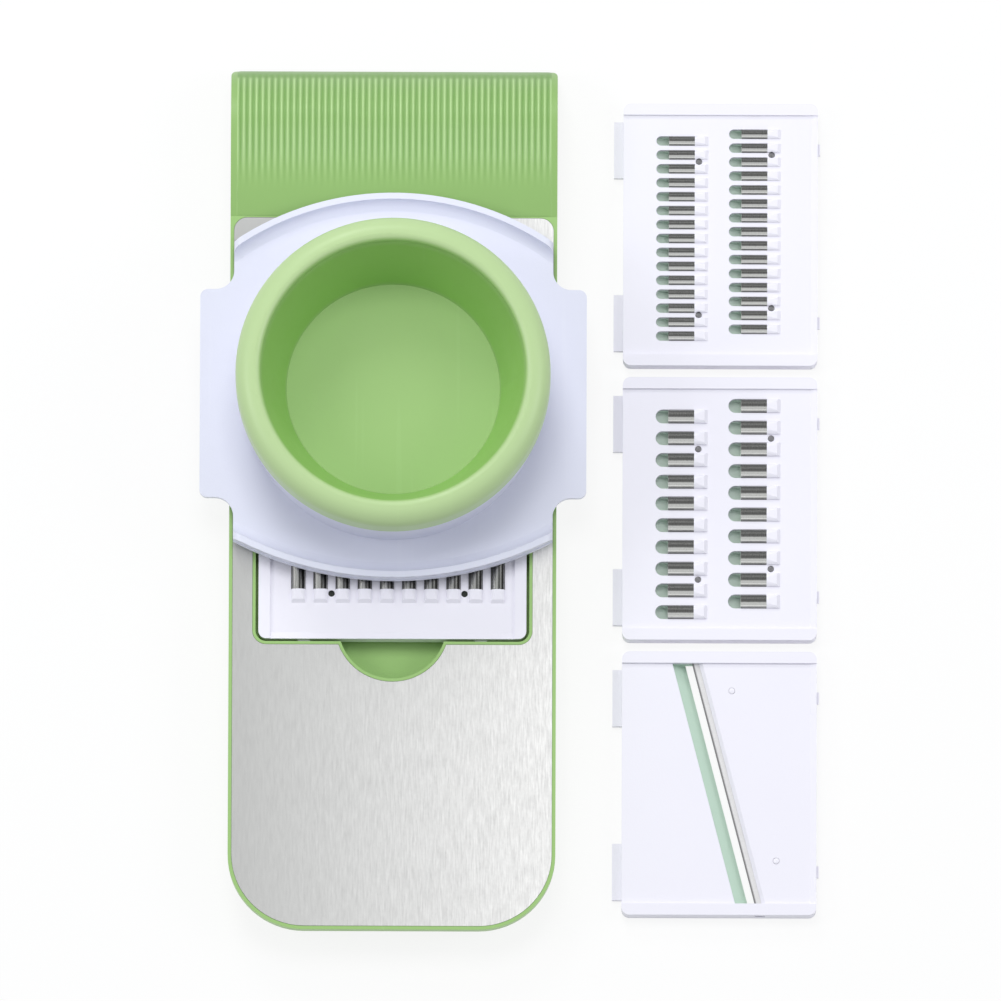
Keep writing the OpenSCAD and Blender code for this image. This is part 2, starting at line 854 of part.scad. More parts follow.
// Takes the face down between the side rails, on a slope that ends level with them in front
module face_cut() {
    w = insert_w - 2 * rail_w;
    along_x() translate([0, 0, -w / 2]) linear_extrude(w)
        polygon([[insert_l / 2 + cut, face_z], [-insert_l / 2 + front_slope, face_z],
            [-insert_l / 2, face_z + rail_h / 2], [-insert_l / 2 - cut, face_z + rail_h],
            [-insert_l / 2 - cut, insert_h + cut], [insert_l / 2 + cut, insert_h + cut]]);
}

module row_slots(n, pitch, w, row) {
    sw = w + 2 * slot_clear;
    for (i = [0 : n - 1])
        translate([tooth_x(i, n, pitch, row), row_y(row), 0]) {
            translate([-sw / 2, -slot_open - tooth_l, -cut])
                cube([sw, slot_open + tooth_l - sw / 2, insert_h + 2 * cut]);
            translate([0, -sw / 2, -cut]) cylinder(d = sw, h = insert_h + 2 * cut);
        }
}

// Plastic ramps behind the teeth, falling a little and then rounding down to the face
module row_ramps(n, pitch, w, rise, row) {
    y0 = row_y(row) - slot_open - tooth_l;
    intersection() {
        translate([0, y0, 0]) along_y() translate([0, 0, -ramp_l]) linear_extrude(ramp_l)
            for (i = [0 : n - 1])
                translate([0, tooth_x(i, n, pitch, row)]) rotate([0, 0, -90]) mirror([1, 0])
                    arch(w, face_z - cut, face_z + rise, ramp_share);
        along_x() translate([0, 0, -insert_w / 2]) linear_extrude(insert_w)
            polygon([[y0, face_z - cut], [y0, face_z + rise],
                [y0 - ramp_l + ramp_end, face_z + ramp_drop * rise],
                [y0 - ramp_l, face_z - seat], [y0 - ramp_l, face_z - cut]]);
    }
}

module rivet_cuts(n, pitch, r) {
    for (row = [0, 1], x = rivet_x(n, pitch, row))
        translate([x, rivet_y(row), -cut]) cylinder(r = r, h = insert_h + 2 * cut);
}

module grater_frame(n, pitch, w, rise) {
    color(white) difference() {
        union() {
            frame_shell();
            for (row = [0, 1]) row_ramps(n, pitch, w, rise, row);
        }
        for (row = [0, 1]) row_slots(n, pitch, w, row);
        rivet_cuts(n, pitch, rivet_head_r + 2 * press_gap);
    }
}

// One steel strip: a corrugated front whose arches are the teeth, and a flat flange behind them
module grater_strip(n, pitch, w, rise, row) {
    y0 = row_y(row) - slot_open;
    span = n * pitch;
    mid = tooth_x((n - 1) / 2, n, pitch, row);
    color(steel) difference() {
        union() {
            translate([0, y0, 0]) along_y() translate([0, 0, -tooth_l]) linear_extrude(tooth_l)
                strip_section(n, pitch, w, rise, row, span, mid);
            translate([mid - span / 2, y0 - tooth_l - flange_l, strip_z])
                cube([span, flange_l + lap, steel_t]);
        }
        for (x = rivet_x(n, pitch, row))
            translate([x, rivet_y(row), 0]) cylinder(r = rivet_r + press_gap, h = insert_h);
        translate([mid - span / 2 - cut, y0, strip_z - cut]) rotate([edge_angle, 0, 0])
            translate([0, 0, -edge_cut]) cube([span + 2 * cut, edge_cut, edge_cut]);
    }
}

module strip_section(n, pitch, w, rise, row, span, mid) {
    difference() {
        union() {
            translate([strip_z, mid - span / 2]) square([steel_t, span]);
            for (i = [0 : n - 1])
                translate([0, tooth_x(i, n, pitch, row)]) rotate([0, 0, -90]) mirror([1, 0])
                    arch(w, strip_z, face_z + rise, arch_share);
        }
        for (i = [0 : n - 1])
            translate([0, tooth_x(i, n, pitch, row)]) rotate([0, 0, -90]) mirror([1, 0])
                arch(w - 2 * steel_t, strip_z - cut, face_z + rise - steel_t, arch_share);
    }
}

module carrier_plate() {
    translate([0, 0, carrier_bottom]) linear_extrude(carrier_top - carrier_bottom)
        round_rect(carrier_w, carrier_l, insert_r - skirt_t / 2 - carrier_gap);
}

// Plastic carrier that clamps the strips from below, with a sloped throat under every slot
module grater_carrier(n, pitch, w) {
    throat_y = -slot_open - tooth_l;
    color(green) difference() {
        carrier_plate();
        for (row = [0, 1], i = [0 : n - 1])
            translate([tooth_x(i, n, pitch, row), row_y(row), 0]) along_x()
                translate([0, 0, -w / 2]) linear_extrude(w)
                    polygon([[0, carrier_top + cut], [0, carrier_top - throat_lip],
                        [-slot_open, carrier_bottom], [-slot_open, carrier_bottom - cut],
                        [throat_y, carrier_bottom - cut], [throat_y, carrier_top + cut]]);
        rivet_cuts(n, pitch, rivet_r + press_gap);
    }
}

// Rivet through the carrier and the steel into the face plate, its low head showing on top
module rivet() {
    translate([0, 0, carrier_bottom]) cylinder(r = rivet_r, h = face_z - carrier_bottom);
    translate([0, 0, face_z - rivet_head_t]) cylinder(r = rivet_head_r, h = rivet_head_t + rivet_proud);
}

module grater_rivets(n, pitch) {
    color(steel)
        for (row = [0, 1], x = rivet_x(n, pitch, row))
            translate([x, rivet_y(row), 0]) rivet();
}

// ---- Slicing insert

// Moves and turns to the middle of the slanted cutting edge
module at_edge() {
    translate([0, edge_y, 0]) rotate([0, 0, mouth_angle]) children();
}

module between_rails() {
    translate([0, 0, -cut]) linear_extrude(insert_h + 2 * cut)
        square([insert_w - 2 * rail_w, insert_l + 2 * cut], center = true);
}

module slicer_frame_solid() {
    color(white) difference() {
        frame_shell();
        intersection() {
            at_edge() translate([-mouth_l / 2, 0, -cut]) cube([mouth_l, mouth_w, insert_h + 2 * cut]);
            between_rails();
        }
        at_edge() translate([-mouth_l / 2, -bevel_l, blade_z - cut])
            cube([mouth_l, bevel_l + cut, blade_t + cut]);
        intersection() {
            at_edge() along_x() translate([0, 0, -mouth_l / 2]) linear_extrude(mouth_l)
                polygon([[cut, blade_z - cut], [cut, face_z + cut], [-2 * bevel_l, face_z + cut],
                    [-bevel_l, blade_z + blade_t], [-bevel_l, blade_z - cut]]);
            between_rails();
        }
        slicer_rivet_places() translate([0, 0, -cut])
            cylinder(r = rivet_head_r + 2 * press_gap, h = insert_h);
    }
}

module slicer_blade_solid() {
    color(steel) difference() {
        intersection() {
            at_edge() along_x() translate([0, 0, -mouth_l / 2]) linear_extrude(mouth_l)
                polygon([[0, blade_z - steel_t + blade_t], [-bevel_l, blade_z - steel_t],
                    [-blade_w, blade_z - steel_t], [-blade_w, blade_z], [-bevel_l, blade_z],
                    [-bevel_l, blade_z - steel_t + blade_t],
                    [0, blade_z - steel_t + blade_t + edge_land]]);
            linear_extrude(insert_h) square([carrier_w, insert_l], center = true);
        }
        slicer_rivet_places() cylinder(r = rivet_r + press_gap, h = insert_h);
    }
}

module slicer_rivet_places() {
    for (s = [-1, 1])
        at_edge() translate([s * blade_rivet_x, -blade_w + blade_rivet_in, 0]) children();
}

module slicer_carrier_solid() {
    color(green) difference() {
        carrier_plate();
        intersection() {
            at_edge() along_x() translate([0, 0, -mouth_l / 2]) linear_extrude(mouth_l)
                polygon([[mouth_w, carrier_top + cut], [mouth_w, carrier_top - throat_lip],
                    [mouth_w / 3, carrier_bottom], [mouth_w / 3, carrier_bottom - cut],
                    [-bevel_l, carrier_bottom - cut], [-bevel_l, carrier_top + cut]]);
            between_rails();
        }
        slicer_rivet_places() translate([0, 0, -cut]) cylinder(r = rivet_r + press_gap, h = insert_h);
    }
}

module slicer_rivets_solid() {
    color(steel) slicer_rivet_places() rivet();
}

// ---- Places of the four inserts

module seated() {
    translate([0, seat_y, insert_z]) children();
}

module loose(place) {
    translate([loose_x, loose_y + place * loose_pitch, 0]) rotate([0, 0, 90]) children();
}

module insert_frame() { seated() grater_frame(coarse_n, coarse_pitch, coarse_w, coarse_rise); }
module insert_carrier() { seated() grater_carrier(coarse_n, coarse_pitch, coarse_w); }
module insert_rear_blade() { seated() grater_strip(coarse_n, coarse_pitch, coarse_w, coarse_rise, 0); }
module insert_front_blade() { seated() grater_strip(coarse_n, coarse_pitch, coarse_w, coarse_rise, 1); }
module insert_rivets() { seated() grater_rivets(coarse_n, coarse_pitch); }

module fine_frame() { loose(1) grater_frame(fine_n, fine_pitch, fine_w, fine_rise); }
module fine_carrier() { loose(1) grater_carrier(fine_n, fine_pitch, fine_w); }
module fine_rear_blade() { loose(1) grater_strip(fine_n, fine_pitch, fine_w, fine_rise, 0); }
module fine_front_blade() { loose(1) grater_strip(fine_n, fine_pitch, fine_w, fine_rise, 1); }
module fine_rivets() { loose(1) grater_rivets(fine_n, fine_pitch); }

module coarse_frame() { loose(0) grater_frame(coarse_n, coarse_pitch, coarse_w, coarse_rise); }
module coarse_carrier() { loose(0) grater_carrier(coarse_n, coarse_pitch, coarse_w); }
module coarse_rear_blade() { loose(0) grater_strip(coarse_n, coarse_pitch, coarse_w, coarse_rise, 0); }
module coarse_front_blade() { loose(0) grater_strip(coarse_n, coarse_pitch, coarse_w, coarse_rise, 1); }
module coarse_rivets() { loose(0) grater_rivets(coarse_n, coarse_pitch); }

module slicer_frame() { loose(-1) slicer_frame_solid(); }
module slicer_carrier() { loose(-1) slicer_carrier_solid(); }
module slicer_blade() { loose(-1) slicer_blade_solid(); }
module slicer_rivets() { loose(-1) slicer_rivets_solid(); }

body_frame();
deck_plate();
base_foot();
handle_shell();
handle_foot();
handle_screws();
guard_carriage();
pusher_cup();
pusher_base();
pusher_pins();
insert_frame();
insert_carrier();
insert_rear_blade();
insert_front_blade();
insert_rivets();
fine_frame();
fine_carrier();
fine_rear_blade();
fine_front_blade();
fine_rivets();
coarse_frame();
coarse_carrier();
coarse_rear_blade();
coarse_front_blade();
coarse_rivets();
slicer_frame();
slicer_carrier();
slicer_blade();
slicer_rivets();
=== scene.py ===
import math
import bpy
from mathutils import Matrix, Quaternion, Vector


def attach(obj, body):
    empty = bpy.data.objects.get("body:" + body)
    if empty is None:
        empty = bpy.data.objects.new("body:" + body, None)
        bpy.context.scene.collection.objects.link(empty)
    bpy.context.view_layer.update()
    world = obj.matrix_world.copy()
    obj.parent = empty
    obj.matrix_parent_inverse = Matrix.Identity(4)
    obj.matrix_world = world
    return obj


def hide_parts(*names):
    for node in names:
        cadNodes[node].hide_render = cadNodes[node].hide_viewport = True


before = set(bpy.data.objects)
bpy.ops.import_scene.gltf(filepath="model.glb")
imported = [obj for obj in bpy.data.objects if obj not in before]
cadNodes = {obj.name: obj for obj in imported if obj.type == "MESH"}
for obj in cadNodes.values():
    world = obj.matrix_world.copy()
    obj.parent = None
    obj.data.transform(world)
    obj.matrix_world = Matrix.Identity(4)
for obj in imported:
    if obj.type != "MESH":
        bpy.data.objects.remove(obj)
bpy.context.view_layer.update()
print("slicer frame loaded:", len(cadNodes), "nodes")

# node helpers: an input takes a plain value or another node's output

def addNode(tree, kind, inputs=None, **options):
    node = tree.nodes.new(kind)
    for name, value in options.items():
        setattr(node, name, value)
    for key, value in (inputs or {}).items():
        if isinstance(value, bpy.types.NodeSocket):
            tree.links.new(value, node.inputs[key])
        else:
            node.inputs[key].default_value = value
    return node


def calc(tree, operation, a, b=0.0, c=0.0, clamp=False):
    node = addNode(tree, "ShaderNodeMath", {0: a, 1: b, 2: c}, operation=operation, use_clamp=clamp)
    return node.outputs[0]


def blendTone(tree, share, first, second):
    # the mix node's sixth and seventh inputs and second output are its colours
    return addNode(tree, "ShaderNodeMix", {"Factor": share, 6: first, 7: second}, data_type="RGBA").outputs[2]


def spread(tree, value, low, high, newLow=0.0, newHigh=1.0):
    node = addNode(tree, "ShaderNodeMapRange", {"Value": value, "From Min": low, "From Max": high,
                                                "To Min": newLow, "To Max": newHigh})
    return node.outputs["Result"]


def splitPlace(tree, vector):
    return addNode(tree, "ShaderNodeSeparateXYZ", {0: vector}).outputs


def useGroup(tree, group, inputs):
    return addNode(tree, "ShaderNodeGroup", inputs, node_tree=group).outputs


# camera and room

cameraSettings = {
    "elevation": 79.0,      # degrees above the table
    "roll": 0.2,            # degrees
    "distance": 15.0,
    "viewWidth": 0.3794,    # width of the view at the deck, m
    "centre": (0.0408, -0.0021, 0.022),
}

roomSettings = {
    "floorSize": 8.0,
    "floorTone": (0.90, 0.90, 0.90, 1.0),
    "floorGlow": 0.86,      # share of plain white that the eye sees on the floor
    "skyTone": (0.925, 0.962, 1.0, 1.0),
    "skyLevel": 0.465,
}

lampSettings = [
    # name, place, aim, size, watts, tone, shows in gloss
    ("highKey", (-0.06, 0.53, 1.84), (0.02, 0.02, 0.0), 0.7, 12.6, (1.0, 0.995, 0.985), False),
    ("rearGloss", (-0.35, 1.35, 1.20), (0.0, 0.05, 0.03), 0.55, 6.5, (1.0, 1.0, 0.99), True),
    ("leftGloss", (-1.35, 0.10, 1.30), (0.0, 0.03, 0.04), 0.7, 6.2, (1.0, 1.0, 1.0), True),
    ("rightGloss", (1.45, 0.05, 1.30), (0.0, 0.03, 0.04), 0.7, 5.4, (1.0, 1.0, 1.0), True),
]


def addCamera(settings):
    lift = math.radians(settings["elevation"])
    back = Vector((0.0, -math.cos(lift), math.sin(lift)))
    lens = bpy.data.cameras.new("tableCamera")
    lens.sensor_width = 36.0
    lens.lens = 36.0 * settings["distance"] / settings["viewWidth"]
    lens.clip_start = 0.1
    lens.clip_end = 50.0
    camera = bpy.data.objects.new("tableCamera", lens)
    bpy.context.scene.collection.objects.link(camera)
    turn = (-back).to_track_quat("-Z", "Y") @ Quaternion((0.0, 0.0, 1.0), math.radians(settings["roll"]))
    camera.rotation_mode = "QUATERNION"
    camera.rotation_quaternion = turn
    camera.location = Vector(settings["centre"]) + back * settings["distance"]
    bpy.context.scene.camera = camera


def addLamps(lamps):
    for name, place, aim, size, watts, tone, inGloss in lamps:
        lamp = bpy.data.lights.new(name, "AREA")
        lamp.size = size
        lamp.energy = watts
        lamp.color = tone
        holder = bpy.data.objects.new(name, lamp)
        holder.location = place
        holder.rotation_mode = "QUATERNION"
        holder.rotation_quaternion = (Vector(aim) - Vector(place)).to_track_quat("-Z", "Y")
        holder.visible_camera = False
        holder.visible_glossy = inGloss
        bpy.context.scene.collection.objects.link(holder)


def seenRays(tree):
    # rays that come straight from the eye, or by way of metal
    rays = addNode(tree, "ShaderNodeLightPath").outputs
    return calc(tree, "MAXIMUM", rays["Is Camera Ray"],
                calc(tree, "MAXIMUM", rays["Is Glossy Ray"], rays["Is Transmission Ray"]))


def addFloor(settings):
    half = settings["floorSize"] / 2
    mesh = bpy.data.meshes.new("tableFloor")
    corners = [(-half, -half, 0), (half, -half, 0), (half, half, 0), (-half, half, 0)]
    mesh.from_pydata(corners, [], [(0, 1, 2, 3)])
    floor = bpy.data.objects.new("tableFloor", mesh)
    bpy.context.scene.collection.objects.link(floor)
    material = bpy.data.materials.new("tableTop")
    material.use_nodes = True
    tree = material.node_tree
    tree.nodes.clear()
    lit = addNode(tree, "ShaderNodeBsdfDiffuse", {"Color": settings["floorTone"]})
    glow = addNode(tree, "ShaderNodeEmission", {"Strength": 1.0})
    share = calc(tree, "MULTIPLY", seenRays(tree), settings["floorGlow"])
    mixed = addNode(tree, "ShaderNodeMixShader", {0: share, 1: lit.outputs[0], 2: glow.outputs[0]})
    addNode(tree, "ShaderNodeOutputMaterial", {0: mixed.outputs[0]})
    mesh.materials.append(material)


def addSky(settings):
    world = bpy.data.worlds.new("paleRoom")
    world.use_nodes = True
    tree = world.node_tree
    tree.nodes.clear()
    soft = addNode(tree, "ShaderNodeBackground", {"Color": settings["skyTone"],
                                                  "Strength": settings["skyLevel"]})
    white = addNode(tree, "ShaderNodeBackground", {"Color": (1.0, 1.0, 1.0, 1.0), "Strength": 1.0})
    mixed = addNode(tree, "ShaderNodeMixShader", {0: seenRays(tree), 1: soft.outputs[0], 2: white.outputs[0]})
    addNode(tree, "ShaderNodeOutputWorld", {0: mixed.outputs[0]})
    bpy.context.scene.world = world


addCamera(cameraSettings)
addLamps(lampSettings)
addFloor(roomSettings)
addSky(roomSettings)
bpy.context.scene.view_settings.view_transform = "Standard"
print("camera, lamps and floor ready")


# shader groups

def startGroup(name, inputs, outputs):
    group = bpy.data.node_groups.new(name, "ShaderNodeTree")
    for label, value in inputs:
        if label == "Vector":
            group.interface.new_socket(name=label, in_out="INPUT", socket_type="NodeSocketVector")
        else:
            socket = group.interface.new_socket(name=label, in_out="INPUT", socket_type="NodeSocketFloat")
            socket.default_value = value
    for label in outputs:
        group.interface.new_socket(name=label, in_out="OUTPUT", socket_type="NodeSocketFloat")
    return group, group.nodes.new("NodeGroupInput").outputs, group.nodes.new("NodeGroupOutput").inputs


def makeMouldedSkin():
    # spark-eroded mould grain, slow tone drift and a few flow marks
    group, take, give = startGroup("mouldedSkin", [("Vector", None), ("Grain", 0.0006), ("Drift", 0.05)],
                                   ["Height", "Tone", "Sheen"])
    scale = calc(group, "DIVIDE", 1.0, take["Grain"])
    fine = addNode(group, "ShaderNodeTexNoise", {"Vector": take["Vector"], "Scale": scale, "Detail": 3.0,
                                                 "Roughness": 0.6})
    cells = addNode(group, "ShaderNodeTexVoronoi", {"Vector": take["Vector"],
                                                    "Scale": calc(group, "MULTIPLY", scale, 0.8)})
    pits = calc(group, "MULTIPLY", cells.outputs["Distance"], 0.5)
    slow = addNode(group, "ShaderNodeTexNoise", {"Vector": take["Vector"],
                                                 "Scale": calc(group, "DIVIDE", 1.0, take["Drift"]),
                                                 "Detail": 2.0})
    patch = addNode(group, "ShaderNodeTexNoise", {"Vector": take["Vector"],
                                                  "Scale": calc(group, "DIVIDE", 4.0, take["Drift"]),
                                                  "Detail": 4.0, "Roughness": 0.65})
    group.links.new(calc(group, "ADD", fine.outputs["Fac"], pits), give["Height"])
    group.links.new(slow.outputs["Fac"], give["Tone"])
    group.links.new(spread(group, patch.outputs["Fac"], 0.3, 0.7), give["Sheen"])
    return group


def makeHairScratches():
    # long hair scratches in two directions, from wiping and stacking
    group, take, give = startGroup("hairScratches", [("Vector", None), ("Spacing", 0.004), ("Amount", 0.5)],
                                   ["Scratch"])
    total = None
    for angle, seed in ((0.5, 3.1), (-0.9, 7.7)):
        turned = addNode(group, "ShaderNodeMapping", {
            "Vector": take["Vector"], "Rotation": (0.0, 0.0, angle), "Location": (seed, seed, 0.0),
            "Scale": (1.0, 0.03, 0.03)})
        lines = addNode(group, "ShaderNodeTexNoise", {"Vector": turned.outputs["Vector"],
                                                      "Scale": calc(group, "DIVIDE", 1.0, take["Spacing"]),
                                                      "Detail": 1.0})
        mask = spread(group, lines.outputs["Fac"], 0.70, 0.74)
        total = mask if total is None else calc(group, "MAXIMUM", total, mask)
    group.links.new(calc(group, "MULTIPLY", total, take["Amount"]), give["Scratch"])
    return group


def makeBrushedGrain():
    # drawn steel: fine short streaks along one direction over a speckled satin ground
    group, take, give = startGroup("brushedGrain", [("Vector", None), ("Width", 0.0003), ("Stretch", 12.0)],
                                   ["Height", "Streak", "Speckle"])
    inverse = calc(group, "DIVIDE", 1.0, take["Stretch"])
    squeeze = addNode(group, "ShaderNodeCombineXYZ", {"X": 1.0, "Y": inverse, "Z": 1.0})
    drawn = addNode(group, "ShaderNodeVectorMath", {0: take["Vector"], 1: squeeze.outputs[0]},
                    operation="MULTIPLY")
    scale = calc(group, "DIVIDE", 1.0, take["Width"])
    lines = addNode(group, "ShaderNodeTexNoise", {"Vector": drawn.outputs[0], "Scale": scale, "Detail": 3.0,
                                                  "Roughness": 0.7})
    dots = addNode(group, "ShaderNodeTexNoise", {"Vector": take["Vector"],
                                                 "Scale": calc(group, "MULTIPLY", scale, 0.5), "Detail": 2.0})
    group.links.new(calc(group, "ADD", lines.outputs["Fac"], dots.outputs["Fac"]), give["Height"])
    group.links.new(spread(group, lines.outputs["Fac"], 0.3, 0.7), give["Streak"])
    group.links.new(spread(group, dots.outputs["Fac"], 0.3, 0.7), give["Speckle"])
    return group


mouldedSkin = makeMouldedSkin()
hairScratches = makeHairScratches()
brushedGrain = makeBrushedGrain()


def startMaterial(name):
    material = bpy.data.materials.new(name)
    material.use_nodes = True
    tree = material.node_tree
    tree.nodes.clear()
    out = addNode(tree, "ShaderNodeOutputMaterial")
    shader = addNode(tree, "ShaderNodeBsdfPrincipled")
    tree.links.new(shader.outputs[0], out.inputs[0])
    where = addNode(tree, "ShaderNodeTexCoord").outputs["Object"]
    return material, tree, shader, where


def addBump(tree, height, depth):
    return addNode(tree, "ShaderNodeBump", {"Height": height, "Strength": 1.0, "Distance": depth}).outputs[0]


def roughLevel(tree, sheen, scratch, look, scratchShare):
    level = spread(tree, sheen, 0.0, 1.0, look["rough"][0], look["rough"][1])
    return calc(tree, "ADD", level, calc(tree, "MULTIPLY", scratch, scratchShare))


def plasticMaterial(name, look):
    # moulded plastic or rubber; a look may add painted light and shade as rings of tone about an upright axis,
    # or as lighter ridges and darker valleys from the piece's values
    material, tree, shader, where = startMaterial(name)
    skin = useGroup(tree, mouldedSkin, {"Vector": where, "Grain": look["grain"], "Drift": look["drift"]})
    scratch = useGroup(tree, hairScratches, {"Vector": where, "Spacing": 0.004, "Amount": look["scratches"]})[0]
    tone = blendTone(tree, skin["Tone"], look["deepTone"], look["tone"])
    # painted light and shade: each ring blends the tone to a lighter or darker one by distance from the axis
    for centre, start, end, paintedRingTone in look.get("paintedToneRings", []):
        offset = addNode(tree, "ShaderNodeVectorMath", {0: where, 1: centre}, operation="SUBTRACT").outputs[0]
        flat = addNode(tree, "ShaderNodeVectorMath", {0: offset, 1: (1.0, 1.0, 0.0)}, operation="MULTIPLY")
        reach = addNode(tree, "ShaderNodeVectorMath", {0: flat.outputs[0]}, operation="LENGTH").outputs["Value"]
        tone = blendTone(tree, spread(tree, reach, start, end), tone, paintedRingTone)
    # painted highlight on the ribs' ridges, painted shade in their valleys and at the grip's end
    if "ribs" in look:
        for label, ribTone in zip(("paintedRidgeHighlight", "valley"), look["ribs"]):
            share = addNode(tree, "ShaderNodeAttribute", attribute_name=label).outputs["Fac"]
            tone = blendTone(tree, share, tone, ribTone)
    worn = blendTone(tree, calc(tree, "MULTIPLY", scratch, 0.35), tone, look["rubTone"])
    tree.links.new(worn, shader.inputs["Base Color"])
    tree.links.new(roughLevel(tree, skin["Sheen"], scratch, look, 0.12), shader.inputs["Roughness"])
    height = calc(tree, "SUBTRACT", skin["Height"], calc(tree, "MULTIPLY", scratch, 0.8))
    tree.links.new(addBump(tree, height, look["bump"]), shader.inputs["Normal"])
    return material


def steelMaterial(name, look):
    # brushed steel; a look may add a painted reflection that darkens it towards one side, and a dark line along
    # an edge
    material, tree, shader, where = startMaterial(name)
    turned = addNode(tree, "ShaderNodeMapping", {"Vector": where, "Rotation": (0.0, 0.0, look["turn"])})
    grain = useGroup(tree, brushedGrain, {"Vector": turned.outputs[0], "Width": look["grain"],
                                          "Stretch": look["stretch"]})
    scratch = useGroup(tree, hairScratches, {"Vector": where, "Spacing": 0.005, "Amount": look["scratches"]})[0]
    dots = look["speckle"]
    lines = calc(tree, "MULTIPLY", grain["Streak"], 1.0 - dots)
    speck = calc(tree, "MULTIPLY_ADD", grain["Speckle"], dots, lines)
    tone = blendTone(tree, speck, look["deepTone"], look["tone"])
    # painted reflection: the tone darkens towards the low end along X
    if "drift" in look:
        low, high, shade = look["drift"]
        tone = blendTone(tree, spread(tree, splitPlace(tree, where)["X"], low, high), shade, tone)
    if "edge" in look:
        start, width, shade = look["edge"]
        across = splitPlace(tree, turned.outputs[0])["X"]
        tone = blendTone(tree, spread(tree, across, start + width / 2, start + width), shade, tone)
    tree.links.new(tone, shader.inputs["Base Color"])
    tree.links.new(roughLevel(tree, grain["Streak"], scratch, look, 0.1), shader.inputs["Roughness"])
    shader.inputs["Metallic"].default_value = look["metal"]
    tree.links.new(addBump(tree, grain["Height"], look["bump"]), shader.inputs["Normal"])
    return material


def toothMaterial(name, look, reflectionStripes):
    # painted reflection: light and dark stripes along every tooth, from its own "across" value
    material, tree, shader, where = startMaterial(name)
    across = addNode(tree, "ShaderNodeAttribute", attribute_name="across").outputs["Fac"]
    wobble = addNode(tree, "ShaderNodeTexNoise", {"Vector": where, "Scale": 900.0, "Detail": 2.0})
    stray = 0.03
    centred = calc(tree, "SUBTRACT", across, stray / 2)
    shifted = calc(tree, "MULTIPLY_ADD", wobble.outputs["Fac"], stray, centred)
    ramp = addNode(tree, "ShaderNodeValToRGB", {"Fac": shifted})
    while len(ramp.color_ramp.elements) < len(reflectionStripes):
        ramp.color_ramp.elements.new(0.5)
    for element, (spot, tone) in zip(ramp.color_ramp.elements, reflectionStripes):
        element.position = spot
        element.color = (tone, tone * 1.01, tone * 0.99, 1.0)
    tree.links.new(ramp.outputs["Color"], shader.inputs["Base Color"])
    grain = useGroup(tree, brushedGrain, {"Vector": where, "Width": look["grain"], "Stretch": look["stretch"]})
    tree.links.new(spread(tree, grain["Streak"], 0.0, 1.0, look["rough"][0], look["rough"][1]),
                   shader.inputs["Roughness"])
    shader.inputs["Metallic"].default_value = look["metal"]
    tree.links.new(addBump(tree, grain["Height"], look["bump"]), shader.inputs["Normal"])
    return material


# looks: colours and sizes of every finish, in metres

# place across a tooth and brightness of the steel there, a painted reflection, for the installed insert and for
# the loose ones
toothReflectionStripes = [(0.02, 0.10), (0.09, 0.30), (0.22, 0.27), (0.29, 0.08), (0.40, 0.36), (0.50, 0.30),
                (0.57, 0.04), (0.70, 0.13), (0.79, 0.025), (0.91, 0.025), (0.955, 0.45), (0.99, 0.10)]
looseReflectionStripes = [(0.02, 0.20), (0.06, 0.38), (0.12, 0.46), (0.155, 0.85), (0.19, 0.50), (0.36, 0.50),
                (0.42, 0.15), (0.52, 0.09), (0.72, 0.11), (0.90, 0.13), (0.95, 0.45), (0.99, 0.20)]

greenLook = {"tone": (0.330, 0.535, 0.190, 1.0), "deepTone": (0.308, 0.510, 0.175, 1.0),
             "rubTone": (0.46, 0.66, 0.32, 1.0), "rough": (0.30, 0.40), "grain": 0.0005, "drift": 0.06,
             "scratches": 0.25, "bump": 0.00002}
# the handle's green is a darker copy of the body's green, and the body's is lighter to brighten its shaded
# finger notch: painted shade and painted light
handleLook = dict(greenLook, tone=(0.268, 0.455, 0.145, 1.0), deepTone=(0.250, 0.432, 0.133, 1.0))
# painted light and shade: a lighter tone for the ribs' ridges, a darker one for their valleys and the grip's
# end
gripLook = dict(handleLook, ribs=((0.420, 0.630, 0.268, 1.0), (0.172, 0.338, 0.085, 1.0)))

# the cup: rings of tone about the cup's axis paint its light and shade: a lighter floor, a darker, deeper green
# wall, and a paler rim as a painted highlight
cupAxis = (0.0, 0.0386, 0.0)
cupLook = dict(greenLook, tone=(0.358, 0.545, 0.215, 1.0), deepTone=(0.335, 0.522, 0.198, 1.0),
               rubTone=(0.50, 0.70, 0.34, 1.0), rough=(0.34, 0.44), scratches=0.2,
               paintedToneRings=[(cupAxis, 0.0404, 0.0412, (0.295, 0.545, 0.135, 1.0)),
                      (cupAxis, 0.0492, 0.0512, (0.455, 0.615, 0.305, 1.0))])

whiteLook = {"tone": (0.752, 0.765, 0.880, 1.0), "deepTone": (0.736, 0.750, 0.868, 1.0),
             "rubTone": (0.83, 0.85, 0.92, 1.0), "rough": (0.30, 0.40), "grain": 0.0006, "drift": 0.08,
             "scratches": 0.2, "bump": 0.000015}
insertLook = {"tone": (0.865, 0.850, 0.930, 1.0), "deepTone": (0.848, 0.834, 0.917, 1.0),
              "rubTone": (0.88, 0.88, 0.93, 1.0), "rough": (0.38, 0.50), "grain": 0.0005, "drift": 0.05,
              "scratches": 0.2, "bump": 0.000018}

carrierLook = {"tone": (0.440, 0.600, 0.480, 1.0), "deepTone": (0.410, 0.570, 0.450, 1.0),
               "rubTone": (0.54, 0.68, 0.58, 1.0), "rough": (0.45, 0.58), "grain": 0.0005, "drift": 0.05,
               "scratches": 0.1, "bump": 0.00002}
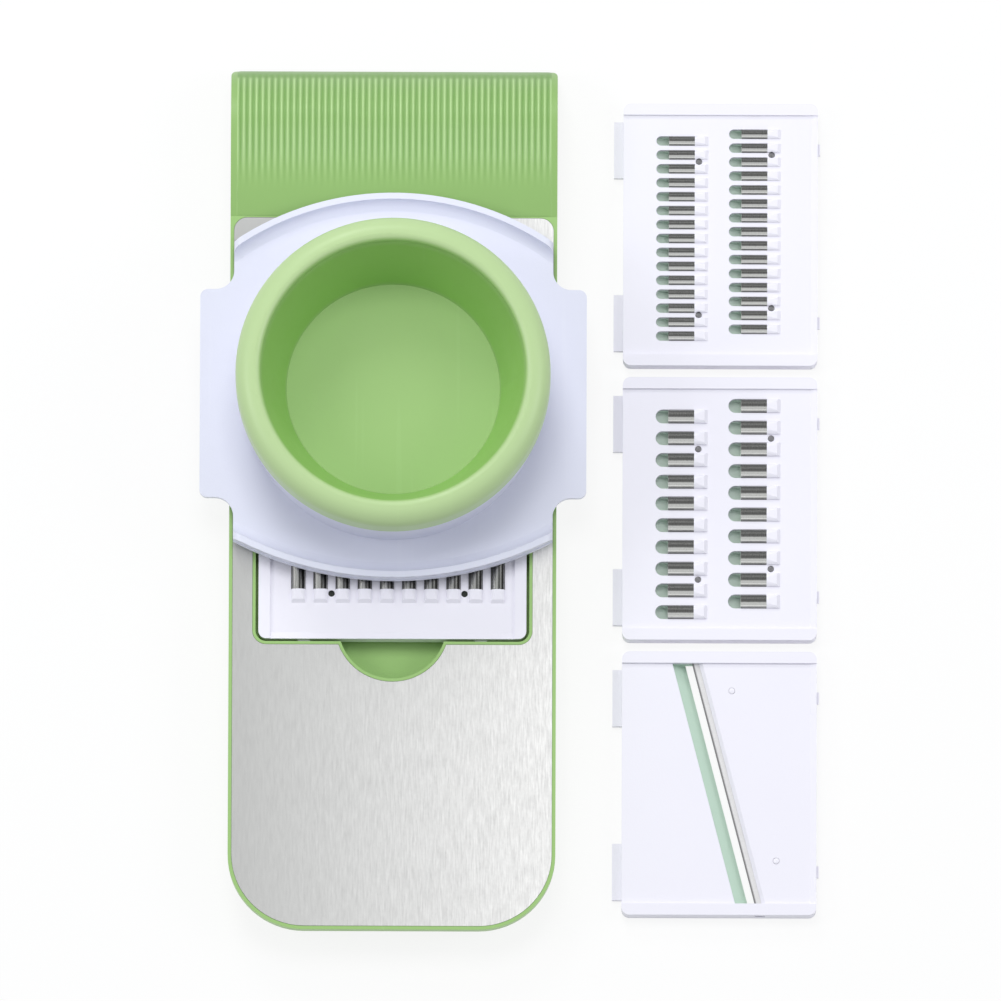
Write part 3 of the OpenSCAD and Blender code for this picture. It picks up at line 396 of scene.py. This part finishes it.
# lighter copies of the carrier tone for the loose inserts and the slicing mouth: painted light where they sit
# in shade under the slots and the mouth
paleCarrierLook = dict(carrierLook, tone=(0.780, 0.905, 0.815, 1.0), deepTone=(0.750, 0.880, 0.790, 1.0))
mouthLook = dict(carrierLook, tone=(0.590, 0.755, 0.640, 1.0), deepTone=(0.560, 0.725, 0.610, 1.0))
rubberLook = {"tone": (0.030, 0.031, 0.033, 1.0), "deepTone": (0.022, 0.023, 0.025, 1.0),
              "rubTone": (0.08, 0.08, 0.08, 1.0), "rough": (0.62, 0.78), "grain": 0.0007, "drift": 0.03,
              "scratches": 0.3, "bump": 0.00004}

# the deck's drift paints a reflection that darkens the plate towards its left side
deckLook = {"tone": (0.90, 0.90, 0.895, 1.0), "deepTone": (0.66, 0.66, 0.655, 1.0), "rough": (0.34, 0.52),
            "grain": 0.00065, "stretch": 11.0, "speckle": 0.15, "turn": 0.0, "metal": 0.9, "scratches": 0.3,
            "bump": 0.00002, "drift": (-0.065, 0.060, (0.47, 0.475, 0.47, 1.0))}
bladeLook = {"tone": (0.42, 0.42, 0.43, 1.0), "deepTone": (0.33, 0.33, 0.34, 1.0), "rough": (0.24, 0.36),
             "grain": 0.0003, "stretch": 10.0, "speckle": 0.5, "turn": 0.0, "metal": 1.0, "scratches": 0.3,
             "bump": 0.000004}

# the slicing blade's grain follows its slant, and a dark line follows its cutting edge
edgeLean = math.radians(-14.5)
edgeStart = min(v.co.x * math.cos(edgeLean) - v.co.y * math.sin(edgeLean)
                for v in cadNodes["slicer_blade"].data.vertices)
sliceLook = dict(bladeLook, tone=(0.74, 0.74, 0.75, 1.0), deepTone=(0.64, 0.64, 0.65, 1.0), rough=(0.34, 0.46),
                 turn=edgeLean, metal=0.9, bump=0.00002, edge=(edgeStart, 0.0009, (0.20, 0.20, 0.205, 1.0)))

screwLook = {"tone": (0.50, 0.50, 0.51, 1.0), "deepTone": (0.40, 0.40, 0.41, 1.0), "rough": (0.25, 0.4),
             "grain": 0.0002, "stretch": 2.0, "speckle": 0.5, "turn": 0.0, "metal": 1.0, "scratches": 0.2,
             "bump": 0.00001}
rivetLook = dict(screwLook, tone=(0.045, 0.050, 0.046, 1.0), deepTone=(0.025, 0.028, 0.026, 1.0),
                 rough=(0.30, 0.45))
looseRivetLook = dict(screwLook, tone=(0.24, 0.24, 0.25, 1.0), deepTone=(0.16, 0.16, 0.17, 1.0))

greenPlastic = plasticMaterial("greenPlastic", greenLook)
handlePlastic = plasticMaterial("handlePlastic", handleLook)
gripPlastic = plasticMaterial("gripPlastic", gripLook)
whitePlastic = plasticMaterial("whitePlastic", whiteLook)
insertPlastic = plasticMaterial("insertPlastic", insertLook)
carrierPlastic = plasticMaterial("carrierPlastic", carrierLook)
paleCarrierPlastic = plasticMaterial("paleCarrierPlastic", paleCarrierLook)
mouthPlastic = plasticMaterial("mouthPlastic", mouthLook)
cupPlastic = plasticMaterial("cupPlastic", cupLook)
footRubber = plasticMaterial("footRubber", rubberLook)
deckSteel = steelMaterial("deckSteel", deckLook)
bladeSteel = steelMaterial("bladeSteel", bladeLook)
sliceSteel = steelMaterial("sliceSteel", sliceLook)
toothSteel = toothMaterial("toothSteel", bladeLook, toothReflectionStripes)
looseToothSteel = toothMaterial("looseToothSteel", bladeLook, looseReflectionStripes)
screwSteel = steelMaterial("screwSteel", screwLook)
rivetSteel = steelMaterial("rivetSteel", rivetLook)
looseRivetSteel = steelMaterial("looseRivetSteel", looseRivetLook)

finishOf = {"body_frame": greenPlastic, "handle_shell": handlePlastic, "pusher_cup": cupPlastic,
            "guard_carriage": whitePlastic, "pusher_base": whitePlastic, "deck_plate": deckSteel,
            "base_foot": footRubber, "handle_foot": footRubber, "handle_screws": screwSteel,
            "pusher_pins": screwSteel}
for kind in ("insert", "fine", "coarse", "slicer"):
    finishOf[kind + "_frame"] = insertPlastic
    finishOf[kind + "_carrier"] = carrierPlastic if kind == "insert" else paleCarrierPlastic
    finishOf[kind + "_rivets"] = rivetSteel
for kind in ("insert", "fine", "coarse"):
    finishOf[kind + "_rear_blade"] = bladeSteel
    finishOf[kind + "_front_blade"] = bladeSteel
finishOf["slicer_blade"] = sliceSteel
finishOf["slicer_carrier"] = mouthPlastic

for name, material in finishOf.items():
    piece = cadNodes[name]
    piece.data.materials.clear()
    piece.data.materials.append(material)
print("finishes on", len(finishOf), "nodes")


# geometry node helpers

weldGap = 0.000001
rodCorners = 24


def startGeometry(name, sockets):
    tree = bpy.data.node_groups.new(name, "GeometryNodeTree")
    tree.interface.new_socket(name="Geometry", in_out="INPUT", socket_type="NodeSocketGeometry")
    for label, kind in sockets:
        tree.interface.new_socket(name=label, in_out="INPUT", socket_type="NodeSocket" + kind)
    tree.interface.new_socket(name="Material", in_out="INPUT", socket_type="NodeSocketMaterial")
    tree.interface.new_socket(name="Geometry", in_out="OUTPUT", socket_type="NodeSocketGeometry")
    return tree, tree.nodes.new("NodeGroupInput").outputs, tree.nodes.new("NodeGroupOutput").inputs


def weld(tree, geometry):
    return addNode(tree, "GeometryNodeMergeByDistance", {"Geometry": geometry, "Distance": weldGap}).outputs[0]


def closeGeometry(tree, geometry, take, give):
    welded = weld(tree, addNode(tree, "GeometryNodeRealizeInstances", {"Geometry": geometry}).outputs[0])
    done = addNode(tree, "GeometryNodeSetMaterial", {"Geometry": welded, "Material": take["Material"]})
    tree.links.new(done.outputs[0], give["Geometry"])


def vec(tree, x=0.0, y=0.0, z=0.0):
    return addNode(tree, "ShaderNodeCombineXYZ", {"X": x, "Y": y, "Z": z}).outputs[0]


def joined(tree, *parts):
    node = tree.nodes.new("GeometryNodeJoinGeometry")
    for part in parts:
        tree.links.new(part, node.inputs[0])
    return node.outputs[0]


def moved(tree, geometry, offset=(0.0, 0.0, 0.0), size=(1.0, 1.0, 1.0)):
    return addNode(tree, "GeometryNodeTransform", {"Geometry": geometry, "Translation": offset,
                                                   "Scale": size}).outputs[0]


def rod(tree, radius, length, top, corners=rodCorners):
    # upright rod whose top face is at the given height
    body = addNode(tree, "GeometryNodeMeshCylinder", {"Vertices": corners, "Radius": radius, "Depth": length})
    low = calc(tree, "MULTIPLY_ADD", length, -0.5, top)
    return moved(tree, body.outputs["Mesh"], vec(tree, z=low))


def dotMesh(name, places):
    mesh = bpy.data.meshes.new(name)
    mesh.from_pydata([tuple(place) for place in places], [], [])
    return mesh


def addPiece(name, mesh, body, nodes, smoothAngle=35.0):
    mesh.name = name
    mesh.shade_smooth()
    mesh.set_sharp_from_angle(angle=math.radians(smoothAngle))
    piece = bpy.data.objects.new(name, mesh)
    bpy.context.scene.collection.objects.link(piece)
    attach(piece, body)
    if nodes:
        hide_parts(*nodes)
    return piece


def growMesh(mesh, tree, values):
    base = bpy.data.objects.new(tree.name + "Base", mesh)
    bpy.context.scene.collection.objects.link(base)
    builder = base.modifiers.new(tree.name, "NODES")
    builder.node_group = tree
    for item in tree.interface.items_tree:
        if item.in_out == "INPUT" and item.name in values:
            builder[item.identifier] = values[item.name]
    view = bpy.context.evaluated_depsgraph_get()
    grown = bpy.data.meshes.new_from_object(base.evaluated_get(view), preserve_all_data_layers=True,
                                            depsgraph=view)
    base.modifiers.remove(builder)
    bpy.data.objects.remove(base)
    return grown


# inserts: each is drawn with its rear edge at +Y and its underside at zero, then put in its place

insertSettings = {
    "length": 0.0738, "face": 0.0061, "slotStart": 0.0125, "slotOpen": 0.0048, "tooth": 0.0098,
    "rowPitch": 0.0276, "steel": 0.0005, "flange": 0.006, "strip": 0.0036, "archShare": 0.58,
    "grind": 0.0007, "foot": 0.0003,
    "rivetBack": 0.0016, "rivetShank": 0.0009, "rivetHead": 0.00115, "rivetProud": 0.00025,
    "headDepth": 0.0012, "carrierUnder": 0.0003,
    "footSteps": 4, "archSteps": 14,
}
toothKinds = {
    "coarse": {"count": 10, "pitch": 0.0084, "width": 0.0051, "rise": 0.0018},
    "fine": {"count": 15, "pitch": 0.0054, "width": 0.0034, "rise": 0.0013},
}
looseSettings = {"side": 0.124, "middle": -0.002, "pitch": 0.106}      # places on the table


def loosePlace(step):
    # the loose inserts lie in a row beside the body, turned a quarter
    place = (looseSettings["side"], looseSettings["middle"] + step * looseSettings["pitch"], 0.0)
    return Matrix.Translation(place) @ Matrix.Rotation(math.radians(90.0), 4, "Z")


insertPlaces = {
    "insert": ("slicer", "coarse", Matrix.Translation((0.0, -0.0186, 0.0147))),
    "fine": ("fine_insert", "fine", loosePlace(1)),
    "coarse": ("coarse_insert", "coarse", loosePlace(0)),
}


def rowPlace(row):
    sizes = insertSettings
    return sizes["length"] / 2 - sizes["slotStart"] - row * sizes["rowPitch"]


def toothPlace(kind, index, row):
    # the two rows are staggered by half a pitch
    side = -1 if row == 0 else 1
    return (index - (kind["count"] - 1) / 2 + side / 4) * kind["pitch"]


def toothSection(kind):
    # one pitch of the corrugated strip: outer and under points of the band, with a small fillet at each foot
    sizes = insertSettings
    half, steel, foot = kind["width"] / 2, sizes["steel"], sizes["foot"]
    footSteps, archSteps = sizes["footSteps"], sizes["archSteps"]
    deck = sizes["strip"] + steel
    top = sizes["face"] + kind["rise"]
    radius = sizes["archShare"] * kind["width"]
    sweep = math.asin(half / radius)
    outer = [(-kind["pitch"] / 2, deck, 0.0, 1.0)]
    for step in range(footSteps + 1):
        angle = math.radians(90.0 * step / footSteps)
        outer.append((-half - foot + foot * math.sin(angle), deck + foot - foot * math.cos(angle),
                      -math.sin(angle), math.cos(angle)))
    for step in range(archSteps + 1):
        angle = -sweep + 2 * sweep * step / archSteps
        outer.append((radius * math.sin(angle), top - radius + radius * math.cos(angle),
                      math.sin(angle), math.cos(angle)))
    for x, z, leanX, leanZ in reversed(outer[:footSteps + 2]):
        outer.append((-x, z, -leanX, leanZ))
    under = [(x - steel * leanX, z - steel * leanZ) for x, z, leanX, leanZ in outer]
    return [(x, z) for x, z, leanX, leanZ in outer], under


def sectionMesh(kind):
    outer, under = toothSection(kind)
    count = len(outer)
    mesh = bpy.data.meshes.new("toothSection")
    mesh.from_pydata([(x, 0.0, z) for x, z in outer + under], [],
                     [(i, i + 1, count + i + 1, count + i) for i in range(count - 1)])
    across = mesh.attributes.new("across", "FLOAT", "POINT")
    below = mesh.attributes.new("below", "FLOAT", "POINT")
    for i, (x, z) in enumerate(outer + under):
        across.data[i].value = x / kind["width"] + 0.5
        below.data[i].value = 1.0 if i >= count else 0.0
    if mesh.polygons[0].normal.y > 0.0:
        mesh.flip_normals()
    return mesh


def makeToothStrip():
    # pulls the section to a tooth, grinds its cutting edge from below, repeats it and adds the flange
    tree, take, give = startGeometry("toothStrip", [
        ("Tooth Length", "Float"), ("Count", "Int"), ("Pitch", "Float"), ("Flange Length", "Float"),
        ("Flange Level", "Float"), ("Steel", "Float"), ("Grind", "Float")])
    pulled = addNode(tree, "GeometryNodeExtrudeMesh", {
        "Mesh": take["Geometry"], "Offset": (0.0, -1.0, 0.0), "Offset Scale": take["Tooth Length"],
        "Individual": False}, mode="FACES").outputs["Mesh"]
    front = addNode(tree, "GeometryNodeFlipFaces", {"Mesh": take["Geometry"]}).outputs[0]
    tooth = weld(tree, joined(tree, pulled, front))
    place = splitPlace(tree, addNode(tree, "GeometryNodeInputPosition").outputs[0])
    below = addNode(tree, "GeometryNodeInputNamedAttribute", {"Name": "below"}, data_type="FLOAT")
    atFront = calc(tree, "GREATER_THAN", place["Y"], -10 * weldGap)
    back = calc(tree, "MULTIPLY", calc(tree, "MULTIPLY", atFront, below.outputs["Attribute"]),
                calc(tree, "MULTIPLY", take["Grind"], -1.0))
    ground = addNode(tree, "GeometryNodeSetPosition", {"Geometry": tooth,
                                                       "Offset": vec(tree, y=back)}).outputs[0]
    line = addNode(tree, "GeometryNodeMeshLine", {"Count": take["Count"], "Offset": vec(tree, x=take["Pitch"])},
                   mode="OFFSET").outputs[0]
    row = addNode(tree, "GeometryNodeInstanceOnPoints", {"Points": line, "Instance": ground}).outputs[0]
    span = calc(tree, "MULTIPLY", take["Count"], take["Pitch"])
    flange = addNode(tree, "GeometryNodeMeshCube", {
        "Size": vec(tree, span, take["Flange Length"], take["Steel"])}).outputs["Mesh"]
    middle = calc(tree, "MULTIPLY_ADD", span, 0.5, calc(tree, "MULTIPLY", take["Pitch"], -0.5))
    behind = calc(tree, "MULTIPLY_ADD", take["Flange Length"], -0.5,
                  calc(tree, "MULTIPLY", take["Tooth Length"], -1.0))
    level = calc(tree, "MULTIPLY_ADD", take["Steel"], 0.5, take["Flange Level"])
    closeGeometry(tree, joined(tree, row, moved(tree, flange, vec(tree, middle, behind, level))), take, give)
    return tree


def makeRivetSet():
    # a low domed rivet on every place it is given
    tree, take, give = startGeometry("rivetSet", [
        ("Shank Radius", "Float"), ("Shank Length", "Float"), ("Head Radius", "Float"),
        ("Head Depth", "Float"), ("Proud", "Float")])
    shank = rod(tree, take["Shank Radius"], take["Shank Length"], 0.0)
    barrel = rod(tree, take["Head Radius"], take["Head Depth"], 0.0)
    ball = addNode(tree, "GeometryNodeMeshUVSphere", {"Segments": rodCorners, "Rings": 10,
                                                      "Radius": 1.0}).outputs["Mesh"]
    dome = moved(tree, ball, size=vec(tree, take["Head Radius"], take["Head Radius"], take["Proud"]))
    rivets = addNode(tree, "GeometryNodeInstanceOnPoints", {
        "Points": take["Geometry"], "Instance": joined(tree, shank, barrel, dome)}).outputs[0]
    closeGeometry(tree, rivets, take, give)
    return tree


toothStrip = makeToothStrip()
rivetSet = makeRivetSet()
rivetValues = {
    "Shank Radius": insertSettings["rivetShank"],
    "Shank Length": insertSettings["face"] - insertSettings["carrierUnder"],
    "Head Radius": insertSettings["rivetHead"], "Head Depth": insertSettings["headDepth"],
    "Proud": insertSettings["rivetProud"],
}

for name, (body, kindName, place) in insertPlaces.items():
    loose = name != "insert"
    kind = toothKinds[kindName]
    sizes = insertSettings
    rivetDots = []
    for row, label in ((0, "rear"), (1, "front")):
        grown = growMesh(sectionMesh(kind), toothStrip, {
            "Tooth Length": sizes["tooth"], "Count": kind["count"], "Pitch": kind["pitch"],
            "Flange Length": sizes["flange"], "Flange Level": sizes["strip"], "Steel": sizes["steel"],
            "Grind": sizes["grind"], "Material": looseToothSteel if loose else toothSteel})
        mouth = rowPlace(row) - sizes["slotOpen"]
        grown.transform(place @ Matrix.Translation((toothPlace(kind, 0, row), mouth, 0.0)))
        addPiece(name + label.capitalize() + "Teeth", grown, body, ["%s_%s_blade" % (name, label)],
                 50.0)
        back = mouth - sizes["tooth"] - sizes["rivetBack"]
        for index in (1.5, kind["count"] - 2.5):        # between the second and third tooth from each end
            rivetDots.append((toothPlace(kind, index, row), back, sizes["face"]))
    grown = growMesh(dotMesh("rivetDots", rivetDots), rivetSet,
                     dict(rivetValues, Material=looseRivetSteel if loose else rivetSteel))
    grown.transform(place)
    addPiece(name + "RivetSet", grown, body, [name + "_rivets"])
print("toothed strips and rivets grown")

# white caps over the slicing insert's rivets, in line with its slanted mouth

slicerSettings = {"mouthAngle": 14.5, "mouthBack": 0.0385, "bladeWidth": 0.016, "rivetIn": 0.004,
                  "rivetOut": 0.1015 / 3}
edgePlace = Matrix.Translation((0.0, insertSettings["length"] / 2 - slicerSettings["mouthBack"], 0.0)) \
    @ Matrix.Rotation(math.radians(slicerSettings["mouthAngle"]), 4, "Z")
slicerDots = [edgePlace @ Vector((side * slicerSettings["rivetOut"],
                                  slicerSettings["rivetIn"] - slicerSettings["bladeWidth"],
                                  insertSettings["face"])) for side in (-1, 1)]
grown = growMesh(dotMesh("slicerDots", slicerDots), rivetSet, dict(rivetValues, Material=insertPlastic))
grown.transform(loosePlace(-1))
addPiece("slicerRivetCaps", grown, "slicing_insert", ["slicer_rivets"])
print("slicing insert's rivet caps grown")

# grip ribs: a soft wave over the curl of the handle that runs out towards the deck

gripSettings = {
    "pitch": 0.00238, "grooves": 50, "depth": 0.0005, "lift": 0.00012, "skin": 0.0010, "sink": 0.0005,
    "rows": 60, "columnsPerRib": 8, "edgeColumns": 3,
    "curlPlace": 0.1415, "curlRadius": 0.026, "crestRadius": 0.1465,
    "halfWidth": 0.062, "cornerRadius": 0.004, "cornerMargin": 0.0007,
    "frontReach": 0.0336, "endAngle": 6.5,
    "frontFade": (0.005, 0.0245), "endFade": (38.0, 27.0), "shadeFade": (41.0, 33.0), "shade": 0.95,
}


def softStep(value, start, end):
    share = min(1.0, max(0.0, (value - start) / (end - start)))
    return share * share * (3.0 - 2.0 * share)


def gripEdge(sizes):
    return sizes["pitch"] * sizes["edgeColumns"] / sizes["columnsPerRib"]


def gripHalf(sizes):
    return sizes["grooves"] * sizes["pitch"] / 2 + gripEdge(sizes)


def gripPath(sizes):
    # side line of the handle from the deck over the crest and down its end, with what changes along it
    curl, crest = sizes["curlRadius"], sizes["crestRadius"]
    cornerStart = sizes["curlPlace"] + curl - sizes["cornerRadius"]
    frontLength = crest * math.asin(sizes["frontReach"] / crest)
    length = frontLength + curl * math.radians(90.0 - sizes["endAngle"])
    points, leans = [], []
    values = {"share": [], "shade": [], "narrow": [], "dip": []}
    for row in range(sizes["rows"]):
        along = length * row / (sizes["rows"] - 1) - frontLength
        radius = crest if along < 0.0 else curl
        turn = along / radius
        lean = Vector((0.0, math.sin(turn), math.cos(turn)))
        point = Vector((0.0, sizes["curlPlace"], curl - radius)) + lean * radius
        rise = 90.0 - math.degrees(turn)
        corner = max(0.0, point.y - cornerStart) if along > 0.0 else 0.0
        half = sizes["halfWidth"] - sizes["cornerRadius"] - sizes["cornerMargin"] \
            + math.sqrt(sizes["cornerRadius"] ** 2 - corner ** 2)
        points.append(point)
        leans.append(lean)
        values["share"].append(1.0 - (softStep(-along, *sizes["frontFade"]) if along < 0.0
                                      else softStep(rise, *sizes["endFade"])))
        # painted shade towards the end of the curl
        values["shade"].append(0.0 if along < 0.0 else sizes["shade"] * softStep(rise, *sizes["shadeFade"]))
        values["narrow"].append(min(1.0, half / gripHalf(sizes)))
        values["dip"].append(1.0 if row == sizes["rows"] - 1 else 0.0)
    mesh = dotMesh("gripPath", points)
    leanData = mesh.attributes.new("lean", "FLOAT_VECTOR", "POINT").data
    leanData.foreach_set("vector", [v for lean in leans for v in lean])
    for label, numbers in values.items():
        mesh.attributes.new(label, "FLOAT", "POINT").data.foreach_set("value", numbers)
    return mesh


def makeGripSkin():
    # a slab of columns and rows, laid along the path with its upper face waved; it stores a painted highlight
    # share on the ridges and a painted shade share in the valleys and at the curl's end
    tree, take, give = startGeometry("gripSkin", [
        ("Width", "Float"), ("Columns", "Int"), ("Rows", "Int"), ("Pitch", "Float"), ("Depth", "Float"),
        ("Lift", "Float"), ("Skin", "Float"), ("Sink", "Float"), ("Edge", "Float")])
    slab = addNode(tree, "GeometryNodeMeshCube", {
        "Size": vec(tree, take["Width"], 1.0, 1.0), "Vertices X": take["Columns"],
        "Vertices Y": take["Rows"], "Vertices Z": 2}).outputs["Mesh"]
    spot = addNode(tree, "GeometryNodeInputPosition").outputs[0]
    place = splitPlace(tree, spot)
    lastRow = calc(tree, "SUBTRACT", take["Rows"], 1.0)
    row = calc(tree, "ROUND", calc(tree, "MULTIPLY", calc(tree, "ADD", place["Y"], 0.5), lastRow))

    def sampled(value, kind):
        node = addNode(tree, "GeometryNodeSampleIndex", {"Geometry": take["Geometry"], "Value": value,
                                                         "Index": row}, data_type=kind, domain="POINT")
        return node.outputs[0]

    def stored(label, kind):
        node = addNode(tree, "GeometryNodeInputNamedAttribute", {"Name": label}, data_type=kind)
        return sampled(node.outputs["Attribute"], kind)

    share = stored("share", "FLOAT")
    phase = calc(tree, "MULTIPLY", calc(tree, "DIVIDE", place["X"], take["Pitch"]), 2.0 * math.pi)
    wave = calc(tree, "MULTIPLY_ADD", calc(tree, "COSINE", phase), -0.5, 0.5)
    valley = calc(tree, "MULTIPLY", share, wave)
    paintedRidgeHighlight = calc(tree, "SUBTRACT", share, valley)
    # painted shade: the valleys, and the end of the curl, take the darker tone
    paintedValleyShade = calc(tree, "MAXIMUM", valley, stored("shade", "FLOAT"))
    inner = calc(tree, "SUBTRACT", calc(tree, "MULTIPLY", take["Width"], 0.5), take["Edge"])
    outside = calc(tree, "SUBTRACT", calc(tree, "ABSOLUTE", place["X"]), inner)
    dip = calc(tree, "MAXIMUM", stored("dip", "FLOAT"), calc(tree, "DIVIDE", outside, take["Edge"], clamp=True))
    waved = calc(tree, "SUBTRACT", take["Lift"], calc(tree, "MULTIPLY", take["Depth"], valley))
    height = calc(tree, "SUBTRACT", waved, calc(tree, "MULTIPLY", take["Sink"], dip))
    upper = calc(tree, "GREATER_THAN", place["Z"], 0.0)
    level = calc(tree, "SUBTRACT", calc(tree, "MULTIPLY", upper, calc(tree, "ADD", height, take["Skin"])),
                 take["Skin"])
    raised = addNode(tree, "ShaderNodeVectorMath", {0: stored("lean", "FLOAT_VECTOR"), "Scale": level},
                     operation="SCALE").outputs[0]
    spine = addNode(tree, "ShaderNodeVectorMath", {0: sampled(spot, "FLOAT_VECTOR"), 1: raised},
                    operation="ADD").outputs[0]
    beside = calc(tree, "MULTIPLY", place["X"], stored("narrow", "FLOAT"))
    laid = addNode(tree, "ShaderNodeVectorMath", {0: spine, 1: vec(tree, beside)}, operation="ADD").outputs[0]
    for label, value in (("paintedRidgeHighlight", paintedRidgeHighlight), ("valley", paintedValleyShade)):
        slab = addNode(tree, "GeometryNodeStoreNamedAttribute", {
            "Geometry": slab, "Name": label, "Value": value}, data_type="FLOAT", domain="POINT").outputs[0]
    bent = addNode(tree, "GeometryNodeSetPosition", {"Geometry": slab, "Position": laid}).outputs[0]
    closeGeometry(tree, bent, take, give)
    return tree


sizes = gripSettings
grown = growMesh(gripPath(sizes), makeGripSkin(), {
    "Width": 2 * gripHalf(sizes),
    "Columns": sizes["grooves"] * sizes["columnsPerRib"] + 2 * sizes["edgeColumns"] + 1,
    "Rows": sizes["rows"], "Pitch": sizes["pitch"], "Depth": sizes["depth"], "Lift": sizes["lift"],
    "Skin": sizes["skin"], "Sink": sizes["sink"], "Edge": gripEdge(sizes), "Material": gripPlastic})
addPiece("gripRibs", grown, "slicer", [], 60.0)
print("grip ribs laid:", len(grown.polygons), "faces")

# holding pins under the pusher

pinSettings = {"ring": 0.030, "count": 8, "radius": 0.0009, "length": 0.0045, "point": 0.0015,
               "disc": 0.0025, "corners": 16, "pointShare": 0.25, "centre": (0.0, 0.0386, 0.028)}


def makePinRing():
    # a ring of pointed pins and one at its middle, each set into the disc above it
    tree, take, give = startGeometry("pinRing", [
        ("Ring Radius", "Float"), ("Count", "Int"), ("Pin Radius", "Float"), ("Reach", "Float"),
        ("Point Length", "Float"), ("Disc", "Float")])
    corners = pinSettings["corners"]
    circle = addNode(tree, "GeometryNodeMeshCircle", {"Vertices": take["Count"],
                                                      "Radius": take["Ring Radius"]}).outputs[0]
    straight = calc(tree, "SUBTRACT", take["Reach"], take["Point Length"])
    shaft = rod(tree, take["Pin Radius"], calc(tree, "ADD", straight, take["Disc"]), take["Disc"], corners)
    tip = addNode(tree, "GeometryNodeMeshCone", {
        "Vertices": corners, "Radius Top": take["Pin Radius"],
        "Radius Bottom": calc(tree, "MULTIPLY", take["Pin Radius"], pinSettings["pointShare"]),
        "Depth": take["Point Length"]}).outputs["Mesh"]
    tip = moved(tree, tip, vec(tree, z=calc(tree, "MULTIPLY", take["Reach"], -1.0)))
    pins = addNode(tree, "GeometryNodeInstanceOnPoints", {
        "Points": joined(tree, circle, take["Geometry"]), "Instance": joined(tree, shaft, tip)}).outputs[0]
    closeGeometry(tree, pins, take, give)
    return tree


grown = growMesh(dotMesh("pinCentre", [(0.0, 0.0, 0.0)]), makePinRing(), {
    "Ring Radius": pinSettings["ring"], "Count": pinSettings["count"], "Pin Radius": pinSettings["radius"],
    "Reach": pinSettings["length"], "Point Length": pinSettings["point"], "Disc": pinSettings["disc"],
    "Material": screwSteel})
grown.transform(Matrix.Translation(pinSettings["centre"]))
addPiece("holdingPins", grown, "pusher", ["pusher_pins"])
print("holding pins grown")
